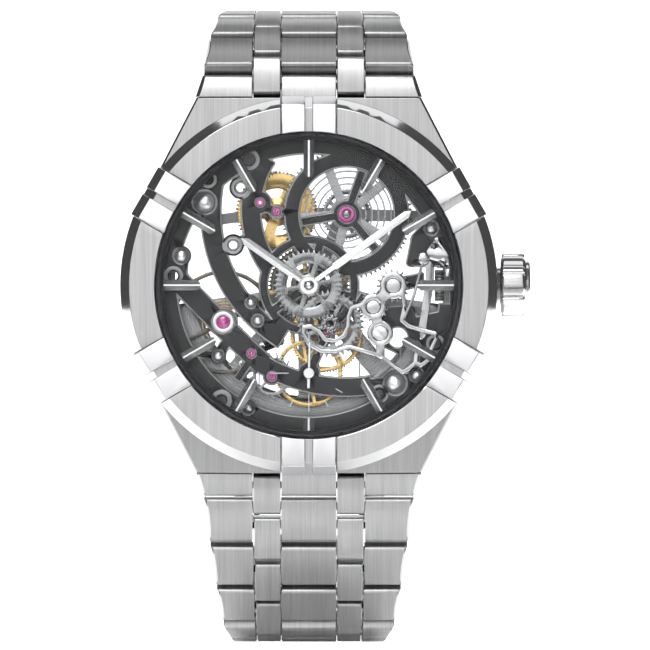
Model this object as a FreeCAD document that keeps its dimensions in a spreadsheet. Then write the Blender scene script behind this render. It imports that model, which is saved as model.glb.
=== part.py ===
import FreeCAD, Part
import math
import os
import re
import Sketcher

# Skeleton wristwatch: case, open-worked automatic movement and five-row bracelet.
# Dial frame of every watch piece: x to 3 o'clock, y to 12 o'clock, z out of the dial,
# z = 0 on the outer face of the case back.  DIAL turns it upright: 12 o'clock is +Z,
# the dial looks along -Y and the crown stands at +X.

DRIVING_SIZES = [
    ("case_radius", 19.5, "outer radius of the bezel"),
    ("bezel_flat_radius", 18.55, "outer radius of the bezel's brushed flat"),
    ("bezel_top", 9.8, "case back plane to the bezel's flat"),
    ("bezel_seat", 7.9, "case back plane to the underside of the bezel"),
    ("case_bottom", 1.3, "case back plane to the underside of the case middle"),
    ("opening_radius", 15.87, "radius of the bezel's opening"),
    ("crystal_depth", 0.55, "bezel's flat to the underside of the front crystal"),
    ("movement_radius", 15.2, "outer radius of the movement"),
    ("claw_width", 5.67, "width of one bezel claw over its two pads"),
    ("claw_groove", 0.75, "width of the groove between the two pads"),
    ("lug_reach", 19.46, "hand axis to the flat end of the lugs"),
    ("lug_half_width", 11.63, "half the width over the lug ends"),
    ("case_half_width", 18.6, "half the width of the case flanks"),
    ("flank_half_length", 5.9, "half the length of the straight flank"),
    ("lug_end_top", 6.4, "height of the lug's upper edge at its end"),
    ("crown_radius", 3.2, "radius of the crown"),
    ("crown_reach", 22.45, "hand axis to the crown's outer edge"),
    ("stem_level", 5.0, "height of the winding stem's axis"),
    ("link_pitch", 4.85, "pin to pin distance of the bracelet"),
    ("link_thickness", 2.5, "thickness of a bracelet link"),
    ("centre_lane", 2.9, "half the width of the middle row of links"),
    ("narrow_lane", 2.9, "width of each narrow row at the case"),
    ("bracelet_start", 10.9, "half the bracelet's width at the first row"),
    ("bracelet_end", 8.0, "half the bracelet's width at the clasp"),
    ("plate_level", 6.05, "underside of the open-worked main plate"),
    ("plate_thickness", 0.85, "thickness of the main plate"),
    ("marker_inner", 11.2, "inner end of the hour markers"),
    ("marker_width", 1.1, "width of an hour marker"),
    ("hour_reach", 8.54, "length of the hour hand"),
    ("minute_reach", 13.1, "length of the minute hand"),
    ("seconds_reach", 3.25, "length of the small seconds hand"),
]

document = FreeCAD.newDocument("SkeletonWatch")
sheet = document.addObject("Spreadsheet::Sheet", "Sizes")
for row, (alias, number, meaning) in enumerate(DRIVING_SIZES, start=1):
    sheet.set(f"A{row}", meaning)
    sheet.set(f"B{row}", str(number))
    sheet.setAlias(f"B{row}", alias)
document.recompute()

DIAL = FreeCAD.Placement(FreeCAD.Vector(), FreeCAD.Rotation(FreeCAD.Vector(1, 0, 0), 90))
# The bezel's claws stand at 12, 2, 4, 6, 8 and 10 o'clock.
CLAW_TURN = FreeCAD.Placement(FreeCAD.Vector(), FreeCAD.Rotation(FreeCAD.Vector(0, 0, 1), 30))
PIECES = []


def size(expression):
    """Value of an expression written with the sheet's aliases."""
    return float(sheet.evalExpression(expression))


def bound(expression):
    """The same expression as other objects of the document have to write it."""
    return re.sub(r"[a-z_]{2,}", lambda word: "Sizes." + word.group(0), expression)


def vec(x, y, z=0.0):
    return FreeCAD.Vector(x, y, z)


def polar(radius, degrees, centre=(0.0, 0.0)):
    angle = math.radians(degrees)
    return (centre[0] + radius * math.cos(angle), centre[1] + radius * math.sin(angle))


# ---------------------------------------------------------------- sketches and bodies

def new_body(name):
    made = document.addObject("PartDesign::Body", name)
    made.Label = name
    PIECES.append(made)
    return made


def new_sketch(body, name, role):
    origin_plane = next(item for item in body.Origin.OriginFeatures if item.Role == role)
    sketch = body.newObject("Sketcher::SketchObject", name)
    sketch.AttachmentSupport = (origin_plane, [""])
    sketch.MapMode = "FlatFace"
    return sketch


def hold(sketch, kind, geometry, point, expression):
    """Tie one coordinate of a sketch point to the sheet."""
    number = sketch.addConstraint(
        Sketcher.Constraint(kind, -1, 1, geometry, point, size(expression)))
    sketch.setExpression(f"Constraints[{number}]", bound(expression))


def outline(body, name, role, corners):
    """Closed polygon sketch; every corner is a pair of expressions."""
    sketch = new_sketch(body, name, role)
    places = [vec(size(across), size(along)) for across, along in corners]
    count = len(corners)
    for index in range(count):
        sketch.addGeometry(Part.LineSegment(places[index], places[(index + 1) % count]), False)
    for index in range(count):
        sketch.addConstraint(Sketcher.Constraint("Coincident", index, 2, (index + 1) % count, 1))
    for index, (across, along) in enumerate(corners):
        hold(sketch, "DistanceX", index, 1, across)
        hold(sketch, "DistanceY", index, 1, along)
    return sketch


def round_sketch(body, name, role, radius):
    """Circle on the origin with its radius tied to the sheet."""
    sketch = new_sketch(body, name, role)
    sketch.addGeometry(Part.Circle(vec(0, 0), vec(0, 0, 1), size(radius)), False)
    sketch.addConstraint(Sketcher.Constraint("Coincident", 0, 3, -1, 1))
    number = sketch.addConstraint(Sketcher.Constraint("Radius", 0, size(radius)))
    sketch.setExpression(f"Constraints[{number}]", bound(radius))
    return sketch


def revolve(body, name, sketch, axis="V_Axis"):
    feature = body.newObject("PartDesign::Revolution", name)
    feature.Profile = sketch
    feature.ReferenceAxis = (sketch, [axis])
    feature.Angle = 360
    document.recompute()
    return feature


def pad(body, name, sketch, length, low="0"):
    """Pad along +Z from the height LOW."""
    sketch.setExpression("AttachmentOffset.Base.z", bound(low))
    feature = body.newObject("PartDesign::Pad", name)
    feature.Profile = sketch
    feature.setExpression("Length", bound(length))
    document.recompute()
    return feature


def pocket(body, name, sketch, length, midplane=False, reverse=False):
    """Pocket that is checked to have removed something."""
    before = body.Shape.Volume
    feature = body.newObject("PartDesign::Pocket", name)
    feature.Profile = sketch
    feature.Type = 0
    feature.setExpression("Length", bound(length))
    feature.Midplane = midplane
    feature.Reversed = reverse
    document.recompute()
    if body.Shape.Volume >= before:
        raise ValueError(f"{name} removes nothing")
    return feature


def around(body, name, feature, count):
    """Repeat a feature about the dial axis."""
    pattern = body.newObject("PartDesign::PolarPattern", name)
    pattern.Originals = [feature]
    axis = next(item for item in body.Origin.OriginFeatures if item.Role == "Z_Axis")
    pattern.Axis = (axis, [""])
    pattern.Angle = 360
    pattern.Occurrences = count
    body.Tip = pattern
    document.recompute()
    return pattern


# ---------------------------------------------------------------- plain shapes

def polygon(points):
    corners = [vec(x, y) for x, y in points]
    return Part.Face(Part.makePolygon(corners + corners[:1]))


def disc(centre, radius):
    return Part.Face(Part.Wire(Part.makeCircle(radius, vec(*centre))))


def ring(centre, outer, inner):
    return disc(centre, outer).cut(disc(centre, inner))


def bar(start, end, width):
    """Rectangle of the given width about the line from start to end."""
    dx, dy = end[0] - start[0], end[1] - start[1]
    length = math.hypot(dx, dy)
    side = (-dy / length * width / 2, dx / length * width / 2)
    return polygon([(start[0] + side[0], start[1] + side[1]), (start[0] - side[0], start[1] - side[1]),
                    (end[0] - side[0], end[1] - side[1]), (end[0] + side[0], end[1] + side[1])])


def arc_band(start, middle, end, width):
    """Curved strip of constant width about the arc through three points."""
    circle = Part.Arc(vec(*start), vec(*middle), vec(*end)).toShape().Curve
    centre, radius = circle.Center, circle.Radius
    edges = []
    for reach in (radius - width / 2, radius + width / 2):
        along = [centre + (vec(*point) - centre).normalize() * reach for point in (start, middle, end)]
        edges.append(Part.Arc(*along).toShape())
    ends = [(edges[0].Vertexes[i].Point, edges[1].Vertexes[i].Point) for i in (0, 1)]
    sides = [Part.makeLine(inner, outer) for inner, outer in ends]
    return Part.Face(Part.Wire(Part.__sortEdges__(edges + sides)))


def upward(face):
    """The same flat face with its normal along +z."""
    if face.normalAt(0, 0).z < 0:
        return face.reversed()
    return face


def joined(faces):
    """One flat region from overlapping flat faces."""
    flat = [upward(face) for item in faces for face in item.Faces]
    whole = flat[0].multiFuse(flat[1:]) if len(flat) > 1 else flat[0]
    shell = Part.makeShell([upward(face) for face in whole.Faces]).removeSplitter()
    return shell if abs(shell.Area - whole.Area) < 1e-3 * whole.Area else whole


def path(points, width):
    """Strip of constant width along a bent line, with round corners and ends."""
    pieces = [bar(a, b, width) for a, b in zip(points, points[1:])]
    pieces += [disc(point, width / 2) for point in points]
    return joined(pieces)


def raised(face, low, high):
    """Solid standing on a flat face, from z = low to z = high."""
    lifted = face.copy()
    lifted.translate(vec(0, 0, low))
    body = lifted.extrude(vec(0, 0, high - low))
    return fused(body.Solids) if len(body.Solids) > 1 else body


def post(centre, radius, low, high):
    return Part.makeCylinder(radius, high - low, vec(centre[0], centre[1], low))


def tube(centre, outer, inner, low, high):
    return post(centre, outer, low, high).cut(post(centre, inner, low - 1, high + 1))


def fused(solids):
    return solids[0].multiFuse(solids[1:]).removeSplitter() if len(solids) > 1 else solids[0]


def rounded(points, radius):
    """Polygon whose corners are replaced by tangent arcs."""
    edges = []
    last = None
    count = len(points)
    first = None
    for index in range(count):
        corner = vec(*points[index])
        back = (vec(*points[index - 1]) - corner)
        ahead = (vec(*points[(index + 1) % count]) - corner)
        half = back.getAngle(ahead) / 2
        reach = min(radius / math.tan(half), back.Length * 0.45, ahead.Length * 0.45)
        back.normalize()
        ahead.normalize()
        enter, leave = corner + back * reach, corner + ahead * reach
        bend = reach * math.tan(half)
        middle_line = back + ahead
        middle_line.normalize()
        centre = corner + middle_line * (bend / math.sin(half))
        middle = centre - middle_line * bend
        if last is not None and last.distanceToPoint(enter) > 1e-6:
            edges.append(Part.makeLine(last, enter))
        first = first or enter
        edges.append(Part.Arc(enter, middle, leave).toShape())
        last = leave
    if last.distanceToPoint(first) > 1e-6:
        edges.append(Part.makeLine(last, first))
    return Part.Face(Part.Wire(edges))


def shape_piece(name, shape, placement=DIAL):
    made = document.addObject("Part::Feature", name)
    made.Label = name
    made.Shape = shape
    made.Placement = placement * shape.Placement
    PIECES.append(made)
    return made


def boolean(kind, name, base, tool):
    made = document.addObject(kind, name)
    made.Base = base
    made.Tool = tool
    made.Label = name
    return made


# ---------------------------------------------------------------- case

def lug_bevels():
    """Wedges that cut the wide polished bevels along the outer edges of the lugs."""
    bevel = 0.7
    tip = (size("lug_half_width"), size("lug_reach"), size("lug_end_top"))
    flank = (size("case_half_width"), size("flank_half_length"), size("bezel_seat"))
    share = (size("lug_reach") * 0.6 - flank[1]) / (tip[1] - flank[1])
    knee = (flank[0] + (tip[0] - flank[0]) * share, size("lug_reach") * 0.6, flank[2])
    beyond = tuple(2 * end - start for start, end in zip(knee, tip))
    run = vec(tip[0] - flank[0], tip[1] - flank[1]).normalize()
    inward = vec(run.y, -run.x) if run.y * tip[0] < 0 else vec(-run.y, run.x)
    inward = inward if inward.x < 0 else inward * -1
    wedges = []
    for start, end in ((beyond, knee), (knee, flank)):
        wires = []
        for place in (start, end):
            edge = vec(*place)
            corners = [edge + inward * bevel + vec(0, 0, 0.01), edge - inward + vec(0, 0, 0.01),
                       edge - inward + vec(0, 0, -bevel * 1.1), edge + vec(0, 0, -bevel * 1.1)]
            wires.append(Part.makePolygon(corners + corners[:1]))
        wedges.append(Part.makeLoft(wires, True, True))
    corner = fused(wedges)
    solids = [corner, corner.mirror(vec(0, 0), vec(1, 0)), corner.mirror(vec(0, 0), vec(0, 1))]
    solids.append(solids[1].mirror(vec(0, 0), vec(0, 1)))
    return Part.makeCompound(solids)


def make_case_middle():
    body = document.addObject("PartDesign::Body", "case_block_body")
    corners = []
    for sx, sy, first in ((1, 1, True), (-1, 1, False), (-1, -1, True), (1, -1, False)):
        flank = (f"{sx} * case_half_width", f"{sy} * flank_half_length")
        lug = (f"{sx} * lug_half_width", f"{sy} * lug_reach")
        corners += [flank, lug] if first else [lug, flank]
    plan = outline(body, "case_plan", "XY_Plane", corners)
    pad(body, "case_block", plan, "bezel_seat - case_bottom", "case_bottom")
    for side, name in ((1, "top"), (-1, "bottom")):
        slope = outline(body, f"lug_slope_{name}", "YZ_Plane", [
            (f"{side} * lug_reach * 0.6", "bezel_seat"), (f"{side} * lug_reach", "lug_end_top"),
            (f"{side} * (lug_reach + 1)", "lug_end_top"), (f"{side} * (lug_reach + 1)", "bezel_seat + 1"),
            (f"{side} * lug_reach * 0.6", "bezel_seat + 1")])
        pocket(body, f"lug_top_{name}", slope, "case_half_width * 2 + 2", midplane=True)
        under = outline(body, f"lug_under_{name}", "YZ_Plane", [
            (f"{side} * lug_reach * 0.72", "case_bottom"), (f"{side} * lug_reach", "case_bottom + 1.3"),
            (f"{side} * (lug_reach + 1)", "case_bottom + 1.3"), (f"{side} * (lug_reach + 1)", "case_bottom - 1"),
            (f"{side} * lug_reach * 0.72", "case_bottom - 1")])
        pocket(body, f"lug_base_{name}", under, "case_half_width * 2 + 2", midplane=True)
    seat = round_sketch(body, "bezel_seat_plan", "XY_Plane", "case_radius - 0.45")
    pad(body, "bezel_seat_ring", seat, "bezel_seat - case_bottom - 0.6", "case_bottom + 0.6")
    for side, name in ((1, "top"), (-1, "bottom")):
        notch = outline(body, f"link_notch_{name}", "XY_Plane", [
            ("-centre_lane", f"{side} * (lug_reach - 1.9)"), ("centre_lane", f"{side} * (lug_reach - 1.9)"),
            ("centre_lane", f"{side} * (lug_reach + 1)"), ("-centre_lane", f"{side} * (lug_reach + 1)")])
        pocket(body, f"centre_notch_{name}", notch, "bezel_seat * 3", midplane=True)
    bore = outline(body, "bore_profile", "XZ_Plane", [
        ("0", "case_bottom - 1"), ("movement_radius + 0.1", "case_bottom - 1"),
        ("movement_radius + 0.1", "plate_level + plate_thickness"),
        ("opening_radius + 0.02", "plate_level + plate_thickness"),
        ("opening_radius + 0.02", "bezel_seat + 1"), ("0", "bezel_seat + 1")])
    before = body.Shape.Volume
    groove = body.newObject("PartDesign::Groove", "movement_bore")
    groove.Profile = bore
    groove.ReferenceAxis = (bore, ["V_Axis"])
    groove.Angle = 360
    document.recompute()
    stem = new_sketch(body, "stem_plan", "YZ_Plane")
    stem.addGeometry(Part.Circle(vec(0, size("stem_level")), vec(0, 0, 1), 0.95), False)
    hold(stem, "DistanceX", 0, 3, "0")
    hold(stem, "DistanceY", 0, 3, "stem_level")
    stem.addConstraint(Sketcher.Constraint("Radius", 0, 0.95))
    pocket(body, "stem_hole", stem, "case_half_width + 2", reverse=True)
    if body.Shape.Volume >= before:
        raise ValueError("the case was not bored")
    wedges = document.addObject("Part::Feature", "lug_bevel_wedges")
    wedges.Shape = lug_bevels()
    case = boolean("Part::Cut", "case_middle", body, wedges)
    case.Placement = DIAL
    PIECES.append(case)
    document.recompute()


def make_bezel():
    body = new_body("bezel")
    section = outline(body, "bezel_profile", "XZ_Plane", [
        ("opening_radius", "bezel_seat"), ("case_radius - 0.15", "bezel_seat"),
        ("case_radius", "bezel_seat + 0.15"), ("case_radius", "bezel_top - (case_radius - bezel_flat_radius)"),
        ("bezel_flat_radius", "bezel_top"), ("opening_radius + 0.1", "bezel_top"),
        ("opening_radius", "bezel_top - 0.1")])
    revolve(body, "bezel_ring", section)
    slot = outline(body, "claw_slot", "XZ_Plane", [
        ("opening_radius - 1", "bezel_top - 0.5"), ("bezel_flat_radius - 0.2", "bezel_top - 0.5"),
        ("case_radius + 1", "bezel_top - 0.5 - (case_radius + 1.2 - bezel_flat_radius)"),
        ("case_radius + 1", "bezel_top + 1"), ("opening_radius - 1", "bezel_top + 1")])
    cut = pocket(body, "claw_seat", slot, "claw_width + 0.16", midplane=True)
    around(body, "claw_seats", cut, 6)


def make_bezel_claws():
    """Two polished pads in each of the six seats of the bezel."""
    top = size("bezel_top")
    flat = size("bezel_flat_radius")
    outer = size("case_radius")
    inner = size("opening_radius")
    section = [(inner - 0.5, top - 0.5), (inner - 0.5, top + 0.15), (flat + 0.15, top + 0.15),
               (outer + 0.08, top + 0.22 - (outer - flat)), (outer + 0.08, top - 0.78 - (outer - flat)),
               (flat - 0.2, top - 0.5)]
    corners = [vec(r, 0, z) for r, z in section]
    face = Part.Face(Part.makePolygon(corners + corners[:1]))
    width = (size("claw_width") - size("claw_groove")) / 2
    pads = []
    for offset in (-size("claw_width") / 2, size("claw_groove") / 2):
        pad_face = face.copy()
        pad_face.translate(vec(0, offset, 0))
        pads.append(pad_face.extrude(vec(0, width, 0)).cut(post((0, 0), inner + 0.01, 0, top + 1)))
    for one in list(pads):
        soft = [edge for edge in one.Edges if edge.Curve.TypeId == "Part::GeomLine"
                and edge.CenterOfMass.z > top - 0.75 and edge.Length > 0.7
                and abs(edge.tangentAt(edge.FirstParameter).y) < 0.1]
        upper = [edge for edge in soft if edge.CenterOfMass.z > top - 0.45]
        pads[pads.index(one)] = one.makeChamfer(0.07, upper)
    solids = []
    for turn in range(6):
        for one in pads:
            copy = one.copy()
            copy.rotate(vec(0, 0), vec(0, 0, 1), 60 * turn)
            solids.append(copy)
    shape_piece("bezel_claws", Part.makeCompound(solids), DIAL * CLAW_TURN)


def make_turned_case_parts():
    glass = new_body("front_crystal")
    section = outline(glass, "glass_profile", "XZ_Plane", [
        ("0", "bezel_top - crystal_depth"), ("opening_radius - 0.03", "bezel_top - crystal_depth"),
        ("opening_radius - 0.03", "bezel_top - 0.05"), ("opening_radius - 0.3", "bezel_top + 0.22"),
        ("0", "bezel_top + 0.22")])
    revolve(glass, "glass_disc", section)

    flange = new_body("flange_ring")
    section = outline(flange, "flange_profile", "XZ_Plane", [
        ("movement_radius - 0.15", "plate_level + plate_thickness"),
        ("opening_radius", "plate_level + plate_thickness"), ("opening_radius", "bezel_top - crystal_depth"),
        ("opening_radius - 0.4", "bezel_top - crystal_depth"), ("movement_radius - 0.15", "bezel_top - 1.1")])
    revolve(flange, "flange_turning", section)

    back = new_body("case_back")
    section = outline(back, "back_profile", "XZ_Plane", [
        ("movement_radius - 1.2", "0.15"), ("case_radius - 2.6", "0.15"), ("case_radius - 1.9", "0.5"),
        ("case_radius - 1.9", "case_bottom"), ("movement_radius - 1.2", "case_bottom")])
    revolve(back, "back_ring", section)
    recess = new_sketch(back, "screw_hole_plan", "XY_Plane")
    recess.AttachmentOffset = FreeCAD.Placement(vec(0, 0, -1), FreeCAD.Rotation())
    recess.addGeometry(Part.Circle(vec(15.6, 0), vec(0, 0, 1), 0.8), False)
    hold(recess, "DistanceX", 0, 3, "(movement_radius + case_radius - 3.1) / 2")
    hold(recess, "DistanceY", 0, 3, "0")
    recess.addConstraint(Sketcher.Constraint("Radius", 0, 0.8))
    cut = pocket(back, "screw_hole", recess, "1 + case_bottom * 0.7", reverse=True)
    around(back, "screw_holes", cut, 6)

    window = new_body("back_crystal")
    section = outline(window, "window_profile", "XZ_Plane", [
        ("0", "0"), ("movement_radius - 1.5", "0"), ("movement_radius - 1.22", "0.25"),
        ("movement_radius - 1.22", "1"), ("0", "1")])
    revolve(window, "window_disc", section)

    reach = (size("movement_radius") + size("case_radius") - 3.1) / 2
    heads = []
    for turn in range(6):
        place = polar(reach, 60 * turn)
        head = post(place, 0.76, 0.2, size("case_bottom") * 0.7)
        slot = raised(bar(polar(reach - 1, 60 * turn), polar(reach + 1, 60 * turn), 0.22), 0.0, 0.42)
        heads.append(head.cut(slot))
    shape_piece("case_back_screws", Part.makeCompound(heads))


def make_crown():
    """Crown with six raised bars and smooth faces between them, on its stem."""
    radius = size("crown_radius")
    reach = size("crown_reach")
    axis_x = vec(1, 0, 0)

    def turned(points):
        corners = [vec(x, 0, r) for x, r in points]
        face = Part.Face(Part.makePolygon(corners + corners[:1]))
        return face.revolve(vec(0, 0, 0), axis_x, 360)

    knob = turned([(reach - 2.6, 0), (reach - 2.6, radius - 0.4), (reach - 2.3, radius - 0.12),
                   (reach - 0.3, radius - 0.12), (reach, radius - 0.4), (reach, radius - 0.6),
                   (reach + 0.3, radius - 0.6), (reach + 0.45, radius - 0.75), (reach + 0.45, 0)])
    bars = []
    for turn in range(6):
        rib = Part.makeBox(2.36, 0.62, 0.6, vec(reach - 2.48, -0.31, radius - 0.5))
        rib = rib.makeChamfer(0.14, [edge for edge in rib.Edges if edge.CenterOfMass.z > radius + 0.05])
        rib.rotate(vec(0, 0, 0), axis_x, 60 * turn + 90)
        bars.append(rib)
    neck_start = size("case_radius") - 0.33
    neck = turned([(neck_start, 0), (neck_start, 1.9), (reach - 2.6, 1.9), (reach - 2.6, 0)])
    stem = turned([(size("movement_radius") - 3.1, 0), (size("movement_radius") - 3.1, 0.5),
                   (size("movement_radius") - 0.9, 0.5), (size("movement_radius") - 0.9, 0.85),
                   (neck_start + 0.05, 0.85), (neck_start + 0.05, 0)])
    whole = fused([knob, neck, stem] + bars)
    whole.translate(vec(0, 0, size("stem_level")))
    shape_piece("crown", whole)


# ---------------------------------------------------------------- wheels

def movement_point(x, y):
    """Place in the movement, which grows with its radius."""
    scale = size("movement_radius") / 15.2
    return (x * scale, y * scale)


CENTRE = (0.0, 0.0)
BARREL = movement_point(3.91, 7.36)
THIRD = movement_point(1.80, -5.20)
FOURTH = movement_point(0.0, -9.08)
ESCAPE = movement_point(-3.83, -9.42)
PALLET = movement_point(-5.93, -7.05)
BALANCE = movement_point(-8.86, -3.80)
MINUTE_WORKS = movement_point(2.19, -3.95)
REDUCTION = movement_point(-3.33, 7.63)
YOKE_PIVOT = movement_point(11.85, 2.75)
LEVER_PIVOT = movement_point(13.05, 4.1)


def distance(a, b):
    return math.hypot(b[0] - a[0], b[1] - a[1])


def direction(a, b):
    return math.degrees(math.atan2(b[1] - a[1], b[0] - a[0]))


def module(a, b, teeth_a, teeth_b):
    """Tooth module that makes two wheels mesh on their centre distance."""
    return 2 * distance(a, b) / (teeth_a + teeth_b)


def meshed(a, b, teeth_a, phase_a, teeth_b):
    """Phase of wheel b, in degrees, that puts its teeth in the gaps of wheel a."""
    line = direction(a, b)
    share = ((line - phase_a) * teeth_a / 360) % 1
    return line + 180 - (0.5 - share) * 360 / teeth_b


def tooth_face(teeth, tooth_module, phase, centre=CENTRE, outward=1):
    """Outline of a wheel with straight-flanked watch teeth."""
    radius = tooth_module * teeth / 2
    root = radius - 1.2 * tooth_module * outward
    tip = radius + 0.8 * tooth_module * outward
    points = []
    for index in range(teeth):
        middle = phase + 360 * index / teeth
        for reach, share in ((root, -0.3), (tip, -0.09), (tip, 0.09), (root, 0.3)):
            points.append(polar(reach, middle + share * 360 / teeth, centre))
    return polygon(points)


def windows(centre, outer, inner, count, spoke, phase):
    """The openings between the spokes of a wheel."""
    opening = ring(centre, outer, inner)
    spokes = [bar(centre, polar(outer + 1, phase + 360 * index / count, centre), spoke)
              for index in range(count)]
    return opening.cut(joined(spokes) if count > 1 else spokes[0])


def wheel(centre, teeth, tooth_module, phase, low, high, rim=None, hub=0.8, count=5, spoke=0.4):
    """Toothed wheel, opened between its spokes when a rim width is given."""
    face = tooth_face(teeth, tooth_module, phase, centre)
    if rim:
        edge = tooth_module * teeth / 2 - 1.2 * tooth_module - rim
        face = face.cut(windows(centre, edge, hub, count, spoke, phase + 11))
    return raised(face, low, high)


def arbor(centre, low, high, thick_low, thick_high, radius):
    """Arbor with its thin pivots, from the lower to the upper bearing."""
    return fused([post(centre, PIVOT, low, high), post(centre, radius, thick_low, thick_high)])


PIVOT = 0.12
JEWEL_HOLE = 0.16
JEWEL_RADIUS = 0.42
BRIDGE_LOW = 3.1
BRIDGE_TOP = 3.7
TEETH = {"barrel": 80, "centre_pinion": 20, "centre": 80, "third_pinion": 10, "third": 75,
         "fourth_pinion": 10, "fourth": 84, "escape_pinion": 7, "cannon": 12, "minute": 36,
         "minute_pinion": 10, "hour": 40, "setting_a": 15, "setting_b": 17, "reduction": 60}


def plate_low():
    return size("plate_level")


def plate_top():
    return size("plate_level + plate_thickness")


def make_train():
    """The going train, from the barrel to the escape wheel."""
    front = plate_top()
    under = plate_low()
    step = module(BARREL, CENTRE, TEETH["barrel"], TEETH["centre_pinion"])
    drum_radius = step * TEETH["barrel"] / 2 - 0.55
    drum_top = under - 0.12
    drum = [raised(tooth_face(TEETH["barrel"], step, 0, BARREL).cut(disc(BARREL, drum_radius - 0.5)),
                   under - 0.7, under - 0.4),
            tube(BARREL, drum_radius, drum_radius - 0.5, under - 1.3, drum_top),
            raised(ring(BARREL, drum_radius, 0.9).cut(
                windows(BARREL, drum_radius - 0.6, 1.5, 5, 0.95, 40)), drum_top - 0.15, drum_top),
            raised(ring(BARREL, drum_radius, 0.9).cut(
                windows(BARREL, drum_radius - 0.6, 1.5, 5, 0.95, 40)), under - 1.3, under - 1.15)]
    shape_piece("barrel", fused(drum))

    coils = 6
    inner, outer = 1.5, drum_radius - 0.65
    gap = (outer - inner) / coils
    turns = []
    for coil in range(coils):
        shift = gap / 2
        upper = inner + gap * coil + gap / 2
        start, across = (BARREL[0] - upper + shift / 2, BARREL[1]), (BARREL[0] + upper + shift / 2, BARREL[1])
        reach = (across[0] - start[0]) / 2
        middle_x = (across[0] + start[0]) / 2
        turns.append(arc_band(start, (middle_x, BARREL[1] + reach), across, 0.16))
        back = (start[0] - gap, BARREL[1])
        reach = (across[0] - back[0]) / 2
        middle_x = (across[0] + back[0]) / 2
        if coil < coils - 1:
            turns.append(arc_band(back, (middle_x, BARREL[1] - reach), across, 0.16))
    turns.append(ring(BARREL, 1.62, 1.26))
    shape_piece("mainspring", raised(joined(turns), under - 1.05, drum_top - 0.25))

    ratchet = [raised(tooth_face(48, 0.108, 0, BARREL).cut(
                   windows(BARREL, 2.1, 0.9, 5, 0.4, 0)), BRIDGE_LOW - 0.4, BRIDGE_LOW - 0.15),
               post(BARREL, 0.85, BRIDGE_LOW - 0.4, under - 0.05),
               post(BARREL, 1.2, under - 1.05, drum_top - 0.25),
               post(BARREL, 0.38, under - 0.05, front + 0.1)]
    shape_piece("ratchet_wheel", fused(ratchet))

    pinion_phase = meshed(BARREL, CENTRE, TEETH["barrel"], 0, TEETH["centre_pinion"])
    centre_step = module(CENTRE, THIRD, TEETH["centre"], TEETH["third_pinion"])
    cannon_step = module(CENTRE, MINUTE_WORKS, TEETH["cannon"], TEETH["minute"])
    centre_parts = [
        raised(tooth_face(TEETH["centre_pinion"], step, pinion_phase), under - 0.9, under - 0.3),
        wheel(CENTRE, TEETH["centre"], centre_step, 0, 4.25, 4.45, rim=0.5, hub=1.0, count=4, spoke=0.5),
        post(CENTRE, 0.5, 4.0, under - 0.25), post(CENTRE, PIVOT, BRIDGE_LOW + 0.1, 4.0),
        post(CENTRE, 0.42, under - 0.25, front + 1.72),
        raised(tooth_face(TEETH["cannon"], cannon_step, 0), front + 0.1, front + 0.3)]
    shape_piece("centre_wheel", fused(centre_parts))

    third_phase = meshed(CENTRE, THIRD, TEETH["centre"], 0, TEETH["third_pinion"])
    third_step = module(THIRD, FOURTH, TEETH["third"], TEETH["fourth_pinion"])
    shape_piece("third_wheel", fused([
        raised(tooth_face(TEETH["third_pinion"], centre_step, third_phase, THIRD), 4.12, 4.55),
        wheel(THIRD, TEETH["third"], third_step, 3, 4.62, 4.82, rim=0.4, hub=0.7, count=5, spoke=0.35),
        arbor(THIRD, BRIDGE_LOW + 0.1, front - 0.1, 4.0, under - 0.15, 0.22)]))

    fourth_phase = meshed(THIRD, FOURTH, TEETH["third"], 3, TEETH["fourth_pinion"])
    fourth_step = module(FOURTH, ESCAPE, TEETH["fourth"], TEETH["escape_pinion"])
    shape_piece("fourth_wheel", fused([
        raised(tooth_face(TEETH["fourth_pinion"], third_step, fourth_phase, FOURTH), 4.5, 4.92),
        wheel(FOURTH, TEETH["fourth"], fourth_step, 0, 5.0, 5.2, rim=0.4, hub=0.75, count=4, spoke=0.38),
        arbor(FOURTH, BRIDGE_LOW + 0.1, front + 1.05, 4.0, under - 0.15, 0.25)]))

    escape_phase = meshed(FOURTH, ESCAPE, TEETH["fourth"], 0, TEETH["escape_pinion"])
    hooks = []
    tooth_count = 20
    wheel_radius = 2.5 * size("movement_radius") / 15.2
    for index in range(tooth_count):
        turn = 360 * index / tooth_count
        hooks.append(polygon([polar(wheel_radius - 0.55, turn - 3, ESCAPE),
                              polar(wheel_radius - 0.55, turn + 4, ESCAPE),
                              polar(wheel_radius, turn + 8.5, ESCAPE), polar(wheel_radius, turn + 6.2, ESCAPE)]))
    rim = [ring(ESCAPE, wheel_radius - 0.5, wheel_radius - 0.85), disc(ESCAPE, 0.5)]
    rim += [bar(ESCAPE, polar(wheel_radius - 0.6, 45 + 90 * index, ESCAPE), 0.28) for index in range(4)]
    shape_piece("escape_wheel", fused([
        raised(joined(rim + hooks), under - 0.5, under - 0.3),
        raised(tooth_face(TEETH["escape_pinion"], fourth_step, escape_phase, ESCAPE), 4.9, 5.3),
        arbor(ESCAPE, BRIDGE_LOW + 0.1, front - 0.1, 4.0, under - 0.15, 0.14)]))


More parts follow.
